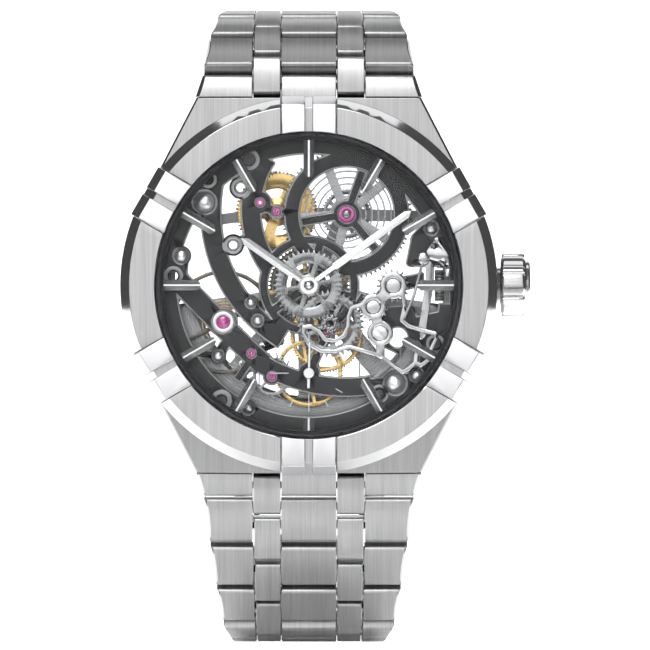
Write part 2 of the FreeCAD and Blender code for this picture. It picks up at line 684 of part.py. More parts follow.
def make_escapement():
    """Pallet fork, balance and hairspring."""
    under = plate_low()
    front = plate_top()
    aim = direction(PALLET, ESCAPE)
    lever = direction(PALLET, BALANCE)
    low, high = under - 0.5, under - 0.3
    reach = distance(PALLET, ESCAPE) - 2.5 * size("movement_radius") / 15.2 - 0.32
    arms = [path([polar(1.55, aim + 90, PALLET), PALLET, polar(1.55, aim - 90, PALLET)], 0.42)]
    arms += [bar(polar(1.5, aim + side, PALLET),
                 polar(math.hypot(1.5, reach), aim + side - math.copysign(
                     math.degrees(math.atan2(reach, 1.5)), side), PALLET), 0.34) for side in (90, -90)]
    fork_end = distance(PALLET, BALANCE) - 1.05
    arms += [path([PALLET, polar(fork_end, lever, PALLET)], 0.3),
             path([polar(fork_end + 0.3, lever + 5, PALLET), polar(fork_end, lever, PALLET),
                   polar(fork_end + 0.3, lever - 5, PALLET)], 0.16)]
    shape_piece("pallet_fork", fused([raised(joined(arms), low, high),
                                      arbor(PALLET, under - 0.85, front - 0.1, under - 0.6,
                                            under - 0.15, 0.16)]))
    rim_radius = 5.4 * size("movement_radius") / 15.2
    rim_low, rim_high = 4.65, 5.1
    spokes = [bar(polar(rim_radius - 0.3, 27, BALANCE), polar(rim_radius - 0.3, 207, BALANCE), 0.5)]
    weights = [post(polar(rim_radius - 0.05, 15 * index + 4, BALANCE), 0.11, rim_low + 0.08, rim_high - 0.08)
               for index in range(24)]
    balance = fused([
        raised(joined([ring(BALANCE, rim_radius, rim_radius - 0.42), disc(BALANCE, 0.75)]), rim_low, rim_high),
        raised(spokes[0], rim_low + 0.1, rim_low + 0.3), *weights,
        post(BALANCE, 0.5, under - 0.65, under - 0.3), post(polar(0.34, lever + 180, BALANCE), 0.1,
                                                            under - 0.75, under - 0.2),
        arbor(BALANCE, BRIDGE_LOW + 0.1, front - 0.1, 3.85, under - 0.15, 0.2)])
    shape_piece("balance_wheel", balance)
    turns = []
    gap = 0.3
    for coil in range(6):
        radius = 0.7 + gap * coil
        left, right = BALANCE[0] - radius, BALANCE[0] + radius + gap / 2
        middle = (left + right) / 2
        turns.append(arc_band((left, BALANCE[1]), (middle, BALANCE[1] + (right - left) / 2),
                              (right, BALANCE[1]), 0.07))
        if coil < 5:
            left -= gap
            middle = (left + right) / 2
            turns.append(arc_band((left, BALANCE[1]), (middle, BALANCE[1] - (right - left) / 2),
                                  (right, BALANCE[1]), 0.07))
    turns.append(ring(BALANCE, 0.74, 0.23))
    shape_piece("hairspring", raised(joined(turns), 4.1, 4.3))


def setting_places():
    """Centres of the two setting wheels, each meshing with the one before."""
    tooth_module = module(CENTRE, MINUTE_WORKS, TEETH["cannon"], TEETH["minute"])
    first = polar(tooth_module * (TEETH["minute"] + TEETH["setting_a"]) / 2, 20.92, MINUTE_WORKS)
    second = polar(tooth_module * (TEETH["setting_a"] + TEETH["setting_b"]) / 2, 46.8, first)
    return tooth_module, first, second


def make_motion_works():
    """Hour wheel, minute wheel and the setting wheels on the dial side."""
    top = plate_top()
    step, first, second = setting_places()
    minute_phase = meshed(CENTRE, MINUTE_WORKS, TEETH["cannon"], 0, TEETH["minute"])
    hour_step = module(CENTRE, MINUTE_WORKS, TEETH["hour"], TEETH["minute_pinion"])
    hour_face_low, hour_face_high = top + 0.45, top + 0.65
    hour = fused([wheel(CENTRE, TEETH["hour"], hour_step, 0, hour_face_low, hour_face_high,
                        rim=1.12, hub=1.15, count=6, spoke=0.48),
                  post(CENTRE, 0.62, hour_face_low, top + 1.4)]).cut(post(CENTRE, 0.47, 0, 20))
    shape_piece("hour_wheel", hour)
    pinion_phase = meshed(CENTRE, MINUTE_WORKS, TEETH["hour"], 0, TEETH["minute_pinion"])
    shape_piece("minute_wheel", fused([
        wheel(MINUTE_WORKS, TEETH["minute"], step, minute_phase, top + 0.1, top + 0.3,
              rim=0.75, hub=0.95, count=5, spoke=0.45),
        raised(tooth_face(TEETH["minute_pinion"], hour_step, pinion_phase, MINUTE_WORKS),
               top + 0.3, top + 0.72)]).cut(post(MINUTE_WORKS, 0.36, 0, 20)))
    first_phase = meshed(MINUTE_WORKS, first, TEETH["minute"], minute_phase, TEETH["setting_a"])
    second_phase = meshed(first, second, TEETH["setting_a"], first_phase, TEETH["setting_b"])
    for name, place, teeth, phase in (("setting_wheel_a", first, TEETH["setting_a"], first_phase),
                                      ("setting_wheel_b", second, TEETH["setting_b"], second_phase)):
        shape_piece(name, wheel(place, teeth, step, phase, top + 0.1, top + 0.34).cut(post(place, 0.5, 0, 20)))


def make_winding():
    """Sliding pinion, setting lever, yoke and the cover plate with its springs."""
    top = plate_top()
    level = size("stem_level")
    edge = size("movement_radius")
    points = []
    teeth = 18
    for index in range(teeth):
        for reach, share in ((1.3, -0.28), (1.62, -0.14), (1.62, 0.14), (1.3, 0.28)):
            points.append(polar(reach, 360 * (index + share) / teeth))
    pinion = raised(polygon(points).cut(disc(CENTRE, 0.56)), 0, 0.95)
    pinion.rotate(vec(0, 0), vec(0, 1, 0), 90)
    pinion.translate(vec(edge - 2.15, 0, level))
    shape_piece("sliding_pinion", pinion)

    lever = rounded([movement_point(13.25, 5.3), movement_point(14.5, 3.0), movement_point(14.6, 0.75),
                     movement_point(14.1, 0.75), movement_point(14.0, 1.9), movement_point(13.3, 2.45),
                     movement_point(12.2, 2.75), movement_point(12.1, 3.5)], 0.35)
    lever = lever.cut(disc(movement_point(14.25, 1.9), 0.2)).cut(disc(LEVER_PIVOT, 0.3))
    shape_piece("setting_lever", raised(lever, top + 0.5, top + 0.68))

    yoke = joined([path([movement_point(11.85, 2.75), movement_point(12.55, 1.9), movement_point(12.5, 0.6),
                         movement_point(12.35, -0.8), movement_point(12.0, -2.6),
                         movement_point(11.75, -4.4)], 0.85),
                   rounded([movement_point(11.3, -4.0), movement_point(12.2, -4.0),
                            movement_point(12.15, -5.2), movement_point(11.5, -5.9)], 0.15)])
    yoke = yoke.cut(disc(YOKE_PIVOT, 0.26))
    shape_piece("yoke", raised(yoke, top + 0.12, top + 0.42))

    step, first, second = setting_places()
    screw = movement_point(7.38, -4.95)
    plate_low_face, plate_high_face = top + 0.8, top + 1.0
    arms = [
        path([movement_point(*p) for p in ((6.2, -1.75), (4.4, -2.35), (4.1, -3.2), (4.05, -4.3), (3.6, -5.2),
                                           (2.7, -5.75), (1.7, -5.6), (1.0, -4.7), (0.2, -4.25),
                                           (-0.55, -4.3), (-0.6, -4.9), (0.0, -6.1), (1.3, -6.8),
                                           (2.7, -6.85), (4.1, -6.35), (5.6, -6.75), (7.4, -7.3),
                                           (8.9, -8.4), (9.7, -9.0), (10.35, -8.6), (11.0, -8.0))], 0.46),
        path([movement_point(*p) for p in ((9.7, -0.6), (9.9, -2.2), (9.6, -3.6), (10.3, -4.2),
                                           (11.9, -4.7), (13.1, -5.0), (13.2, -5.5), (12.5, -6.9),
                                           (12.6, -7.6))], 0.46),
        path([screw, movement_point(7.4, -7.2)], 0.9),
        path([first, second], 1.2), path([first, screw], 1.1),
        path([movement_point(12.5, -7.6), movement_point(11.6, -8.3), movement_point(11.0, -8.0),
              movement_point(11.1, -6.9)], 0.46)]
    bosses = [disc(first, 1.35), disc(second, 1.4), disc(screw, 1.35), disc(movement_point(6.3, -1.8), 0.5),
              disc(movement_point(11.85, 2.75), 0.62)]
    thin = path([movement_point(11.85, 2.75), movement_point(10.85, -1.1), movement_point(9.9, -3.3)], 0.3)
    face = joined(arms + bosses + [thin]).cut(
        Part.makeCompound([disc(first, 0.72), disc(second, 0.76), disc(screw, 0.78)]))
    shape_piece("keyless_plate", raised(face, plate_low_face, plate_high_face))


def make_hands():
    """Baton hands with a bright ridge, and the small seconds hand."""
    top = plate_top()

    def baton(length, tail, narrow, wide, low, high, hub, hole, turn):
        neck = length * 0.24
        plan = polygon([(-narrow / 2, -tail), (narrow / 2, -tail), (narrow / 2, neck), (wide / 2, neck + 0.15),
                        (wide / 2, length - wide * 0.75), (0, length), (-wide / 2, length - wide * 0.75),
                        (-wide / 2, neck + 0.15), (-narrow / 2, neck)])
        blade = raised(plan, low, high)
        foot, back = low - 0.1, -tail - 1
        ridge = Part.makePolygon([vec(-wide, back, foot), vec(wide, back, foot), vec(wide, back, high - 0.26),
                                  vec(0, back, high + 0.001), vec(-wide, back, high - 0.26),
                                  vec(-wide, back, foot)])
        blade = blade.common(Part.Face(ridge).extrude(vec(0, length + tail + 2, 0)))
        whole = fused([blade, post((0, 0), hub, low, high)])
        whole = whole.cut(post((0, 0), hole, 0, 30)) if hole else whole
        whole.rotate(vec(0, 0), vec(0, 0, 1), turn)
        return whole

    shape_piece("hour_hand", baton(size("hour_reach"), 0.2, 0.5, 0.86, top + 1.4, top + 1.62, 1.0, 0.47, 55))
    minute = baton(size("minute_reach"), 0.2, 0.5, 0.8, top + 1.72, top + 1.95, 0.92, 0, -54)
    cap = Part.makeSphere(0.62, vec(0, 0, top + 1.62)).common(post((0, 0), 0.6, top + 1.9, top + 2.4))
    shape_piece("minute_hand", fused([minute, cap]))
    seconds = fused([
        raised(polygon([(-0.14, -1.56), (0.14, -1.56), (0.11, size("seconds_reach")),
                        (-0.11, size("seconds_reach"))]), top + 1.05, top + 1.19),
        post((0, 0), 0.55, top + 1.05, top + 1.25)])
    seconds.rotate(vec(0, 0), vec(0, 0, 1), -1.5)
    seconds.translate(vec(FOURTH[0], FOURTH[1]))
    shape_piece("seconds_hand", seconds)


def make_markers():
    """Twelve faceted hour markers reaching in from the flange."""
    top = plate_top()
    low, high = top + 1.05, top + 1.6
    outer = size("movement_radius") - 0.15
    width = size("marker_width")
    solids = []
    for hour in range(12):
        inner = size("movement_radius") - 1.5 if hour == 6 else size("marker_inner")
        tip = 0.42
        plan = polygon([(inner, -width * 0.22), (inner + tip, -width / 2), (outer + 0.3, -width / 2),
                        (outer + 0.3, width / 2), (inner + tip, width / 2), (inner, width * 0.22)])
        if hour == 6:
            plan = polygon([(inner, -width / 2), (outer + 0.3, -width / 2), (outer + 0.3, width / 2),
                            (inner, width / 2)])
        block = raised(plan, low, high).common(post((0, 0), outer, low - 1, high + 1))
        foot, side, fall = low - 0.1, width / 2 + 0.2, 0.45
        ridge = Part.makePolygon([vec(5, -side, foot), vec(5, side, foot), vec(5, side, high - fall),
                                  vec(5, 0.09, high + 0.001), vec(5, -0.09, high + 0.001),
                                  vec(5, -side, high - fall), vec(5, -side, foot)])
        block = block.common(Part.Face(ridge).extrude(vec(20, 0, 0)))
        block.rotate(vec(0, 0), vec(0, 0, 1), 90 - 30 * hour)
        solids.append(block)
    shape_piece("hour_markers", Part.makeCompound(solids))


# ---------------------------------------------------------------- plates, jewels, screws

SCREW_PLACES = [  # x, y, radius of the domed head
    (-10.8, 8.6, 1.0), (-13.2, 3.07, 0.6), (8.92, -10.14, 0.97), (12.65, 5.92, 0.48),
    (-6.0, -1.77, 0.35), (-5.3, -3.65, 0.38), (-9.4, -7.3, 0.42), (-6.3, -12.7, 0.45), (11.15, -9.3, 0.5)]
HOLE_PLACES = [  # x, y, radius of the hole and of the boss round it
    (-6.18, 13.0, 0.52, 1.05), (-7.06, 10.12, 0.45, 1.15), (-7.83, 4.18, 0.42, 1.1), (13.1, -6.06, 0.5, 0.95),
    (7.3, -11.2, 0.5, 0.9), (-9.05, -11.86, 0.45, 1.05), (-14.0, 1.0, 0.45, 0.95), (-10.4, 10.95, 0.42, 0.85)]


def plate_arms():
    """The curved arms that both the main plate and the rear bridge follow."""
    scale = size("movement_radius") / 15.2

    def band(start, middle, end, width):
        return arc_band(movement_point(*start), movement_point(*middle), movement_point(*end), width * scale)

    upper = band((-9.9, 10.6), (-8.9, 1.6), (-2.6, -5.6), 2.25)
    right = band((-4.3, 13.3), (-5.9, 6.5), (-3.9, 1.7), 2.2)
    lower = band((-13.6, 0.6), (-8.9, -4.2), (-4.6, -8.3), 2.4)
    foot = band((-4.9, -8.1), (0.0, -10.1), (6.6, -10.3), 2.1)
    return upper, right, lower, foot


def make_main_plate():
    """Open-worked main plate: rim, barrel ring, curved arms and bosses."""
    scale = size("movement_radius") / 15.2
    under, top = plate_low(), plate_top()
    edge = size("movement_radius")
    upper, right, lower, foot = plate_arms()
    faces = [ring(CENTRE, edge, edge - 1.65 * scale), upper, right, lower, foot,
             ring(BARREL, 6.5 * scale, 4.85 * scale), ring(CENTRE, 5.2 * scale, 4.2 * scale)]
    faces += [disc(place, reach * scale) for place, reach in (
        (BALANCE, 1.55), (PALLET, 0.95), (ESCAPE, 0.95), (FOURTH, 1.2), (THIRD, 0.95), (MINUTE_WORKS, 0.9),
        (CENTRE, 1.5), (REDUCTION, 0.8), (movement_point(-5.07, 8.57), 1.25))]
    faces += [disc(movement_point(x, y), (reach + 0.45) * scale) for x, y, reach in SCREW_PLACES]
    faces += [disc(movement_point(x, y), boss * scale) for x, y, reach, boss in HOLE_PLACES]
    step, first, second = setting_places()
    bars = [
        (CENTRE, polar(4.6 * scale, 215), 1.1), (CENTRE, polar(4.6 * scale, 75), 1.1),
        (CENTRE, polar(4.7 * scale, 345), 1.1), (CENTRE, MINUTE_WORKS, 1.2), (THIRD, MINUTE_WORKS, 1.2),
        (THIRD, FOURTH, 1.1), (REDUCTION, movement_point(-5.2, 8.3), 1.1),
        (polar(4.6 * scale, 150), movement_point(-4.4, 2.3), 1.5),
        (movement_point(-7.06, 10.12), movement_point(-5.6, 9.2), 1.3),
        (movement_point(-7.06, 10.12), movement_point(-6.18, 13.0), 1.3),
        (movement_point(-7.83, 4.18), movement_point(-9.3, 4.0), 1.3),
        (movement_point(-7.83, 4.18), movement_point(-5.9, 5.0), 1.2),
        (movement_point(-9.4, -7.3), movement_point(-8.2, -5.4), 1.2),
        (movement_point(-9.4, -7.3), movement_point(-12.4, -6.9), 1.0),
        (movement_point(-13.2, 3.07), movement_point(-13.6, -0.6), 1.7),
        (movement_point(-6.3, -12.7), movement_point(-7.6, -12.4), 1.5),
        (movement_point(-7.5, -9.9), movement_point(-6.2, -8.0), 0.9),
        (movement_point(5.2, -10.4), movement_point(9.4, -10.2), 1.6),
        (movement_point(5.0, -1.2), first, 1.5), (first, second, 1.6), (second, movement_point(14.2, 1.2), 1.5)]
    faces += [bar(start, end, width * scale) for start, end, width in bars]
    faces.append(rounded([movement_point(x, y) for x, y in (
        (7.4, -2.2), (11.1, -1.9), (11.3, -4.1), (14.3, -4.6), (13.0, -7.2), (10.4, -10.6), (8.7, -9.4),
        (9.3, -7.2), (6.6, -5.9))], 0.6))
    faces.append(rounded([movement_point(x, y) for x, y in (
        (9.9, 1.9), (14.4, 1.9), (14.0, 4.4), (12.5, 7.2), (10.6, 5.2))], 0.5))
    faces.append(rounded([movement_point(x, y) for x, y in (
        (10.0, -3.4), (14.4, -2.4), (14.2, -5.2), (10.0, -4.6))], 0.4))
    plan = joined(faces)
    stem_slot = raised(polygon([(edge - 3.25, -1.8), (edge - 0.75, -1.8), (edge - 0.75, 1.8),
                                (edge - 3.25, 1.8)]), under - 3, top + 1)
    openings = [disc(movement_point(9.9, -8.1), 0.9 * scale), disc(movement_point(9.2, -5.4), 1.0 * scale),
                rounded([movement_point(x, y) for x, y in ((9.5, -6.6), (11.6, -5.6), (11.2, -8.6),
                                                           (9.9, -8.8))], 0.4)]
    plan = plan.cut(Part.makeCompound(openings))
    plate = raised(plan, under, top)
    arms = []
    for turn in (70, 190, 310):
        arms.append(bar(polar(0.7 * scale, turn, BARREL), polar(5.4 * scale, turn, BARREL), 1.0 * scale))
    barrel_cock = raised(joined(arms + [disc(BARREL, 1.5 * scale)]), under, under + 0.45)
    wall = tube(CENTRE, edge, edge - 0.7 * scale, BRIDGE_TOP + 0.2, under)
    wall = wall.cut(Part.makeCompound([post(BARREL, 7.0 * scale, 0, under), post(BALANCE, 5.7 * scale, 0, under)]))
    foot_place = movement_point(-3.0, -5.6)
    cock = fused([raised(joined([bar(PALLET, foot_place, 0.9), disc(PALLET, 0.45), disc(foot_place, 0.45)]),
                         under - 0.9, under - 0.65), post(foot_place, 0.45, under - 0.9, under)])
    cock = cock.cut(post(PALLET, JEWEL_HOLE, 0, under))
    studs = [post(place, reach, top, top + lift) for place, reach, lift in (
        (MINUTE_WORKS, 0.33, 0.76), (first, 0.47, 1.0), (second, 0.47, 1.0),
        (YOKE_PIVOT, 0.23, 0.75), (LEVER_PIVOT, 0.27, 0.75))]
    plate = fused([plate, barrel_cock, wall] + studs)
    holes = [post(place, JEWEL_RADIUS, under - 0.2, 20) for place in (THIRD, FOURTH, ESCAPE, PALLET)]
    holes += [post(BALANCE, 1.12, 0, 20), post(CENTRE, 0.48, 0, 20), post(BARREL, 0.83, 0, 20),
              post(movement_point(-5.07, 8.57), JEWEL_RADIUS, 0, 20), post(REDUCTION, JEWEL_RADIUS, 0, 20)]
    holes += [post(movement_point(x, y), reach * scale, 0, 20) for x, y, reach, boss in HOLE_PLACES]
    sinks = [tube(movement_point(x, y), (boss - 0.12) * scale, (boss - 0.3) * scale, top - 0.3, top + 1)
             for x, y, reach, boss in HOLE_PLACES]
    sinks += [post(movement_point(x, y), (reach + 0.18) * scale, top - 0.5, top + 2)
              for x, y, reach in SCREW_PLACES]
    plate = plate.cut(Part.makeCompound(holes)).cut(Part.makeCompound(sinks)).cut(stem_slot)
    plate = fused([plate.common(post(CENTRE, edge, 0, 20)), cock])
    stem_bore = Part.makeCylinder(0.95, 8, vec(edge - 4, 0, size("stem_level")), vec(1, 0, 0))
    plate = plate.cut(stem_bore)
    shape_piece("main_plate", max(plate.Solids, key=lambda solid: solid.Volume))


def make_train_bridge():
    """Rear bridge: carries the lower pivots of the train and the rotor's post."""
    scale = size("movement_radius") / 15.2
    edge = size("movement_radius")
    upper, _, lower, foot = plate_arms()
    faces = [ring(CENTRE, edge, edge - 1.3 * scale), upper, lower, foot, ring(BARREL, 6.2 * scale, 5.3 * scale),
             disc(CENTRE, 1.9 * scale), disc(BARREL, 1.7 * scale)]
    faces += [disc(place, 0.8 * scale) for place in (THIRD, FOURTH, ESCAPE, BALANCE, REDUCTION)]
    links = [(CENTRE, BARREL, 1.5), (CENTRE, FOURTH, 1.2), (THIRD, CENTRE, 1.2), (THIRD, FOURTH, 1.0),
             (CENTRE, movement_point(-6.2, -2.6), 1.3), (REDUCTION, BARREL, 1.2),
             (REDUCTION, movement_point(-9.6, 6.8), 1.1), (BARREL, polar(14.3 * scale, 30), 1.2),
             (CENTRE, polar(14.3 * scale, -15), 1.6)]
    faces += [bar(start, end, width * scale) for start, end, width in links]
    bridge = raised(joined(faces), BRIDGE_LOW, BRIDGE_TOP)
    bridge = fused([bridge, post(CENTRE, 0.75, 1.5, BRIDGE_LOW)])
    holes = [post(place, JEWEL_RADIUS, 2.5, 10) for place in (THIRD, FOURTH, ESCAPE, BALANCE)]
    holes += [post(BARREL, 0.9, 2.5, 10), post(REDUCTION, 0.4, 2.5, 10),
              post(CENTRE, JEWEL_RADIUS, BRIDGE_LOW + 0.05, 10),
              raised(polygon([(edge - 3.3, -1.8), (edge - 0.75, -1.8), (edge - 0.75, 1.8), (edge - 3.3, 1.8)]),
                     0, 10)]
    bridge = bridge.cut(Part.makeCompound(holes)).common(post(CENTRE, edge, 0, 20))
    shape_piece("train_bridge", max(bridge.Solids, key=lambda solid: solid.Volume))


def make_jewels_and_screws():
    top, under = plate_top(), plate_low()
    scale = size("movement_radius") / 15.2
    stones = []
    for place in (THIRD, FOURTH, ESCAPE, PALLET):
        if place is not FOURTH:
            stones.append(tube(place, JEWEL_RADIUS, JEWEL_HOLE, top - 0.32, top - 0.02))
        if place is not PALLET:
            stones.append(tube(place, JEWEL_RADIUS, JEWEL_HOLE, BRIDGE_LOW + 0.05, BRIDGE_LOW + 0.35))
    stones.append(tube(REDUCTION, JEWEL_RADIUS, JEWEL_HOLE, top - 0.32, top - 0.02))
    stones.append(tube(FOURTH, JEWEL_RADIUS, 0.29, top - 0.32, top - 0.02))
    stones.append(tube(BALANCE, JEWEL_RADIUS, JEWEL_HOLE, BRIDGE_LOW + 0.05, BRIDGE_LOW + 0.35))
    stones.append(tube(CENTRE, JEWEL_RADIUS, JEWEL_HOLE, BRIDGE_LOW + 0.05, BRIDGE_LOW + 0.35))
    stones.append(tube(movement_point(-5.07, 8.57), JEWEL_RADIUS, JEWEL_HOLE, top - 0.32, top - 0.02))
    stones.append(tube(BARREL, 0.83, 0.42, under + 0.05, under + 0.55))
    stones.append(tube(BALANCE, 0.7, JEWEL_HOLE, top - 0.5, top - 0.25))
    cap = Part.makeSphere(1.2, vec(BALANCE[0], BALANCE[1], top - 1.02)).common(
        post(BALANCE, 0.69, top - 0.06, top + 1))
    stones.append(cap)
    shape_piece("jewels", Part.makeCompound(stones))

    setting = tube(BALANCE, 1.11, 0.71, top - 0.6, top + 0.12)
    heads = [setting]
    for x, y, reach in SCREW_PLACES:
        place = movement_point(x, y)
        reach = reach * scale
        ball = Part.makeSphere(reach * 1.5, vec(place[0], place[1], top + 0.16 - reach * 1.5))
        heads.append(ball.common(post(place, reach, top - 0.5, top + 1)))
    step, first, second = setting_places()
    screw = movement_point(7.38, -4.95)
    head = post(screw, 0.74, top + 0.72, top + 1.08).cut(
        raised(bar((screw[0] - 1, screw[1] + 0.55), (screw[0] + 1, screw[1] - 0.55), 0.16), top + 0.94, top + 2))
    heads.append(fused([head, post(screw, 0.4, top, top + 0.8)]))
    heads += [post(place, reach, top + 1.0, top + 1.1) for place, reach in ((first, 0.68), (second, 0.72))]
    shape_piece("movement_screws", Part.makeCompound(heads))


def make_winding_system():
    """Rotor with its heavy rim towards 6 o'clock, and the reduction wheel it drives."""
    scale = size("movement_radius") / 15.2
    teeth = TEETH["reduction"]
    step = module(CENTRE, REDUCTION, teeth, teeth)
    outer = 14.1 * scale
    rim = ring(CENTRE, outer, outer - 2.1 * scale)
    spread = 82
    wedge = polygon([(0, 0), polar(40, 270 - spread), polar(40, 270), polar(40, 270 + spread)])
    web = ring(CENTRE, outer - 1.9 * scale, 1.0).common(wedge)
    slots = windows(CENTRE, outer - 2.6 * scale, 4.9 * scale, 9, 2.2 * scale, 270)
    web = web.cut(slots)
    hub_gear = raised(tooth_face(teeth, step, 0).cut(windows(CENTRE, 3.3 * scale, 1.7, 5, 0.6, 0)).cut(
        disc(CENTRE, 0.82)), BRIDGE_LOW - 0.4, BRIDGE_LOW - 0.15)
    hub = tube(CENTRE, 1.6, 0.82, 1.75, BRIDGE_LOW - 0.3)
    rotor = fused([raised(rim.common(wedge), 1.5, 2.5), raised(web, 1.85, 2.2), hub, hub_gear])
    shape_piece("rotor", rotor)
    phase = meshed(CENTRE, REDUCTION, teeth, 0, teeth)
    reduction = fused([
        wheel(REDUCTION, 72, step * teeth / 72, 0, 3.88, 4.06, rim=1.6, hub=1.5, count=3, spoke=1.1),
        post(REDUCTION, 0.36, BRIDGE_LOW - 0.4, 4.3), post(REDUCTION, PIVOT, 4.3, plate_top() - 0.1),
        wheel(REDUCTION, teeth, step, phase, BRIDGE_LOW - 0.4, BRIDGE_LOW - 0.15,
              rim=0.5, hub=0.8, count=3, spoke=0.6)])
    shape_piece("reduction_wheel", reduction)


# ---------------------------------------------------------------- bracelet

PIN_RADIUS = 0.42
PIN_DEPTH = 1.1          # pin axis below the outer face of the links
START = 0.95             # from a link's first pin back to its own end
GAP = 0.25               # between one row of links and the next
NARROW_END = 0.75        # narrow link beyond the pin it reaches to
NARROW_LENGTH = 4.5
SIDE_PLAY = 0.06         # between neighbouring lanes
UPPER_TURNS = (52, 70, 86, 97, 107, 118, 130)
LOWER_TURNS = (12, 30, 46, 78, 89, 100, 112, 124, 136)
FIRST_PIN = 3.39         # lug end to the first pin
END_SLOPE = 12


def pin_level():
    return size("lug_end_top") - 1.8


def link_frame(side, place, turn):
    """Placement of a link: its y runs along the bracelet, its z faces outward."""
    angle = math.radians(turn)
    along = vec(0, side * math.cos(angle), -math.sin(angle))
    outward = vec(0, side * math.sin(angle), math.cos(angle))
    across = along.cross(outward)
    turned = FreeCAD.Rotation(across, along, outward, "XYZ")
    return DIAL * FreeCAD.Placement(vec(0, place[0], place[1]), turned)


def chain(side, turns):
    """First pin of every link of one side, and the pin after the last link."""
    pitch = size("link_pitch")
    y, z = side * (size("lug_reach") + FIRST_PIN), pin_level()
    pins = [(y, z)]
    for turn in turns:
        angle = math.radians(turn)
        y += side * pitch * math.cos(angle)
        z -= pitch * math.sin(angle)
        pins.append((y, z))
    return pins


def link_section(first, last, front_round, back_round):
    """Side outline of a link between two y values, with rounded lower corners."""
    top = PIN_DEPTH
    base = PIN_DEPTH - size("link_thickness")
    soft = 0.38
    crown = 0.16
    edges = []

    def corner(centre, radius, from_angle, to_angle):
        places = [vec(0, centre[0] + radius * math.cos(math.radians(a)),
                      centre[1] + radius * math.sin(math.radians(a)))
                  for a in (from_angle, (from_angle + to_angle) / 2, to_angle)]
        edges.append(Part.Arc(*places).toShape())
        return places[0], places[2]

    shoulder = top - crown
    a0, a1 = corner((first + soft, shoulder - soft), soft, 180, 90)
    b0, b1 = corner((last - soft, shoulder - soft), soft, 90, 0)
    middle = vec(0, (first + last) / 2, top)
    edges.append(Part.Arc(a1, middle, b0).toShape())
    c0, c1 = corner((last - back_round, base + back_round), back_round, 0, -90)
    d0, d1 = corner((first + front_round, base + front_round), front_round, 270, 180)
    for start, end in ((b1, c0), (c1, d0), (d1, a0)):
        if start.distanceToPoint(end) > 1e-5:
            edges.append(Part.makeLine(start, end))
    return Part.Face(Part.Wire(Part.__sortEdges__(edges)))


def link_block(section, low, high):
    face = section.copy()
    face.translate(vec(low, 0, 0))
    return face.extrude(vec(high - low, 0, 0))


def trimmed_side(block, sign, start, end, first, last):
    """Taper the outer side of a block and bevel its upper edge."""
    rise = 0.42
    span = last - first
    reach_0, reach_1 = start, end
    keep = polygon([(sign * (reach_0 + (reach_0 - reach_1) / span), first - 1), (0, first - 1), (0, last + 1),
                    (sign * (reach_1 - (reach_0 - reach_1) / span), last + 1)])
    block = block.common(raised(keep, -5, 5))
    corners = []
    for along, reach in ((first - 1, reach_0 + (reach_0 - reach_1) / span),
                         (last + 1, reach_1 - (reach_0 - reach_1) / span)):
        corners.append([vec(sign * (reach - rise), along, PIN_DEPTH + 0.02),
                        vec(sign * (reach + 0.2), along, PIN_DEPTH + 0.02),
                        vec(sign * (reach + 0.2), along, PIN_DEPTH - rise * 1.5 - 0.3)])
    wires = [Part.makePolygon(three + three[:1]) for three in corners]
    return block.cut(Part.makeLoft(wires, True))


def half_width(row):
    """Half the bracelet's width at the start of a row, counted from the first link."""
    return max(size("bracelet_end"), size("bracelet_start") - 0.66 * row)


def lane_edge(row):
    """Outer side of the narrow lane at a row."""
    return size("centre_lane + narrow_lane") - 0.09 * min(row, 4)


def pin(place, reach, radius=PIN_RADIUS):
    return Part.makeCylinder(radius, 2 * reach, vec(-reach, place[0], place[1]), vec(1, 0, 0))


def make_link(name, placement, row, ends_loop=False):
    """One row of the bracelet: middle and outer links, and the narrow pair behind them."""
    pitch = size("link_pitch")
    row_first, row_last = -START, pitch - START - GAP
    narrow_last = pitch + NARROW_END
    narrow_first = narrow_last - NARROW_LENGTH * pitch / 4.85
    inner = size("centre_lane")
    wide = half_width(row)
    narrow_wide = half_width(row + 1) + 0.15
    row_section = link_section(row_first, row_last, 1.3, 0.8)
    narrow_section = link_section(narrow_first, narrow_last, 0.9, 1.25)
    middle = link_block(row_section, -inner + SIDE_PLAY / 2, inner - SIDE_PLAY / 2)
    outers, narrows = [], []
    for sign in (-1, 1):
        low, high = sorted((sign * (lane_edge(row) + SIDE_PLAY / 2), sign * (wide + 1)))
        block = link_block(row_section, low, high)
        outers.append(trimmed_side(block, sign, wide, min(wide, narrow_wide + 0.05), row_first, row_last))
        low, high = sorted((sign * (inner + SIDE_PLAY / 2), sign * (lane_edge(row + 1) - SIDE_PLAY / 2)))
        narrows.append(link_block(narrow_section, low, high))
    first_pin, own_pin, next_pin = (0, 0), (narrow_first + 0.95, 0), (pitch, 0)
    reach = half_width(row + 2) - 1.0
    hole, loose = pin(first_pin, reach), pin(next_pin, 12, PIN_RADIUS + 0.05)
    fixed = pin(own_pin, lane_edge(row) + 1.2, PIN_RADIUS - 0.05)
    middle = middle.cut(hole).cut(fixed)
    outers = [block.cut(hole).cut(fixed) for block in outers]
    narrows = [block.cut(loose).cut(fixed) for block in narrows]
    solids = [middle] + outers + narrows + [hole, fixed]
    shape_piece(name, Part.makeCompound(solids), placement)


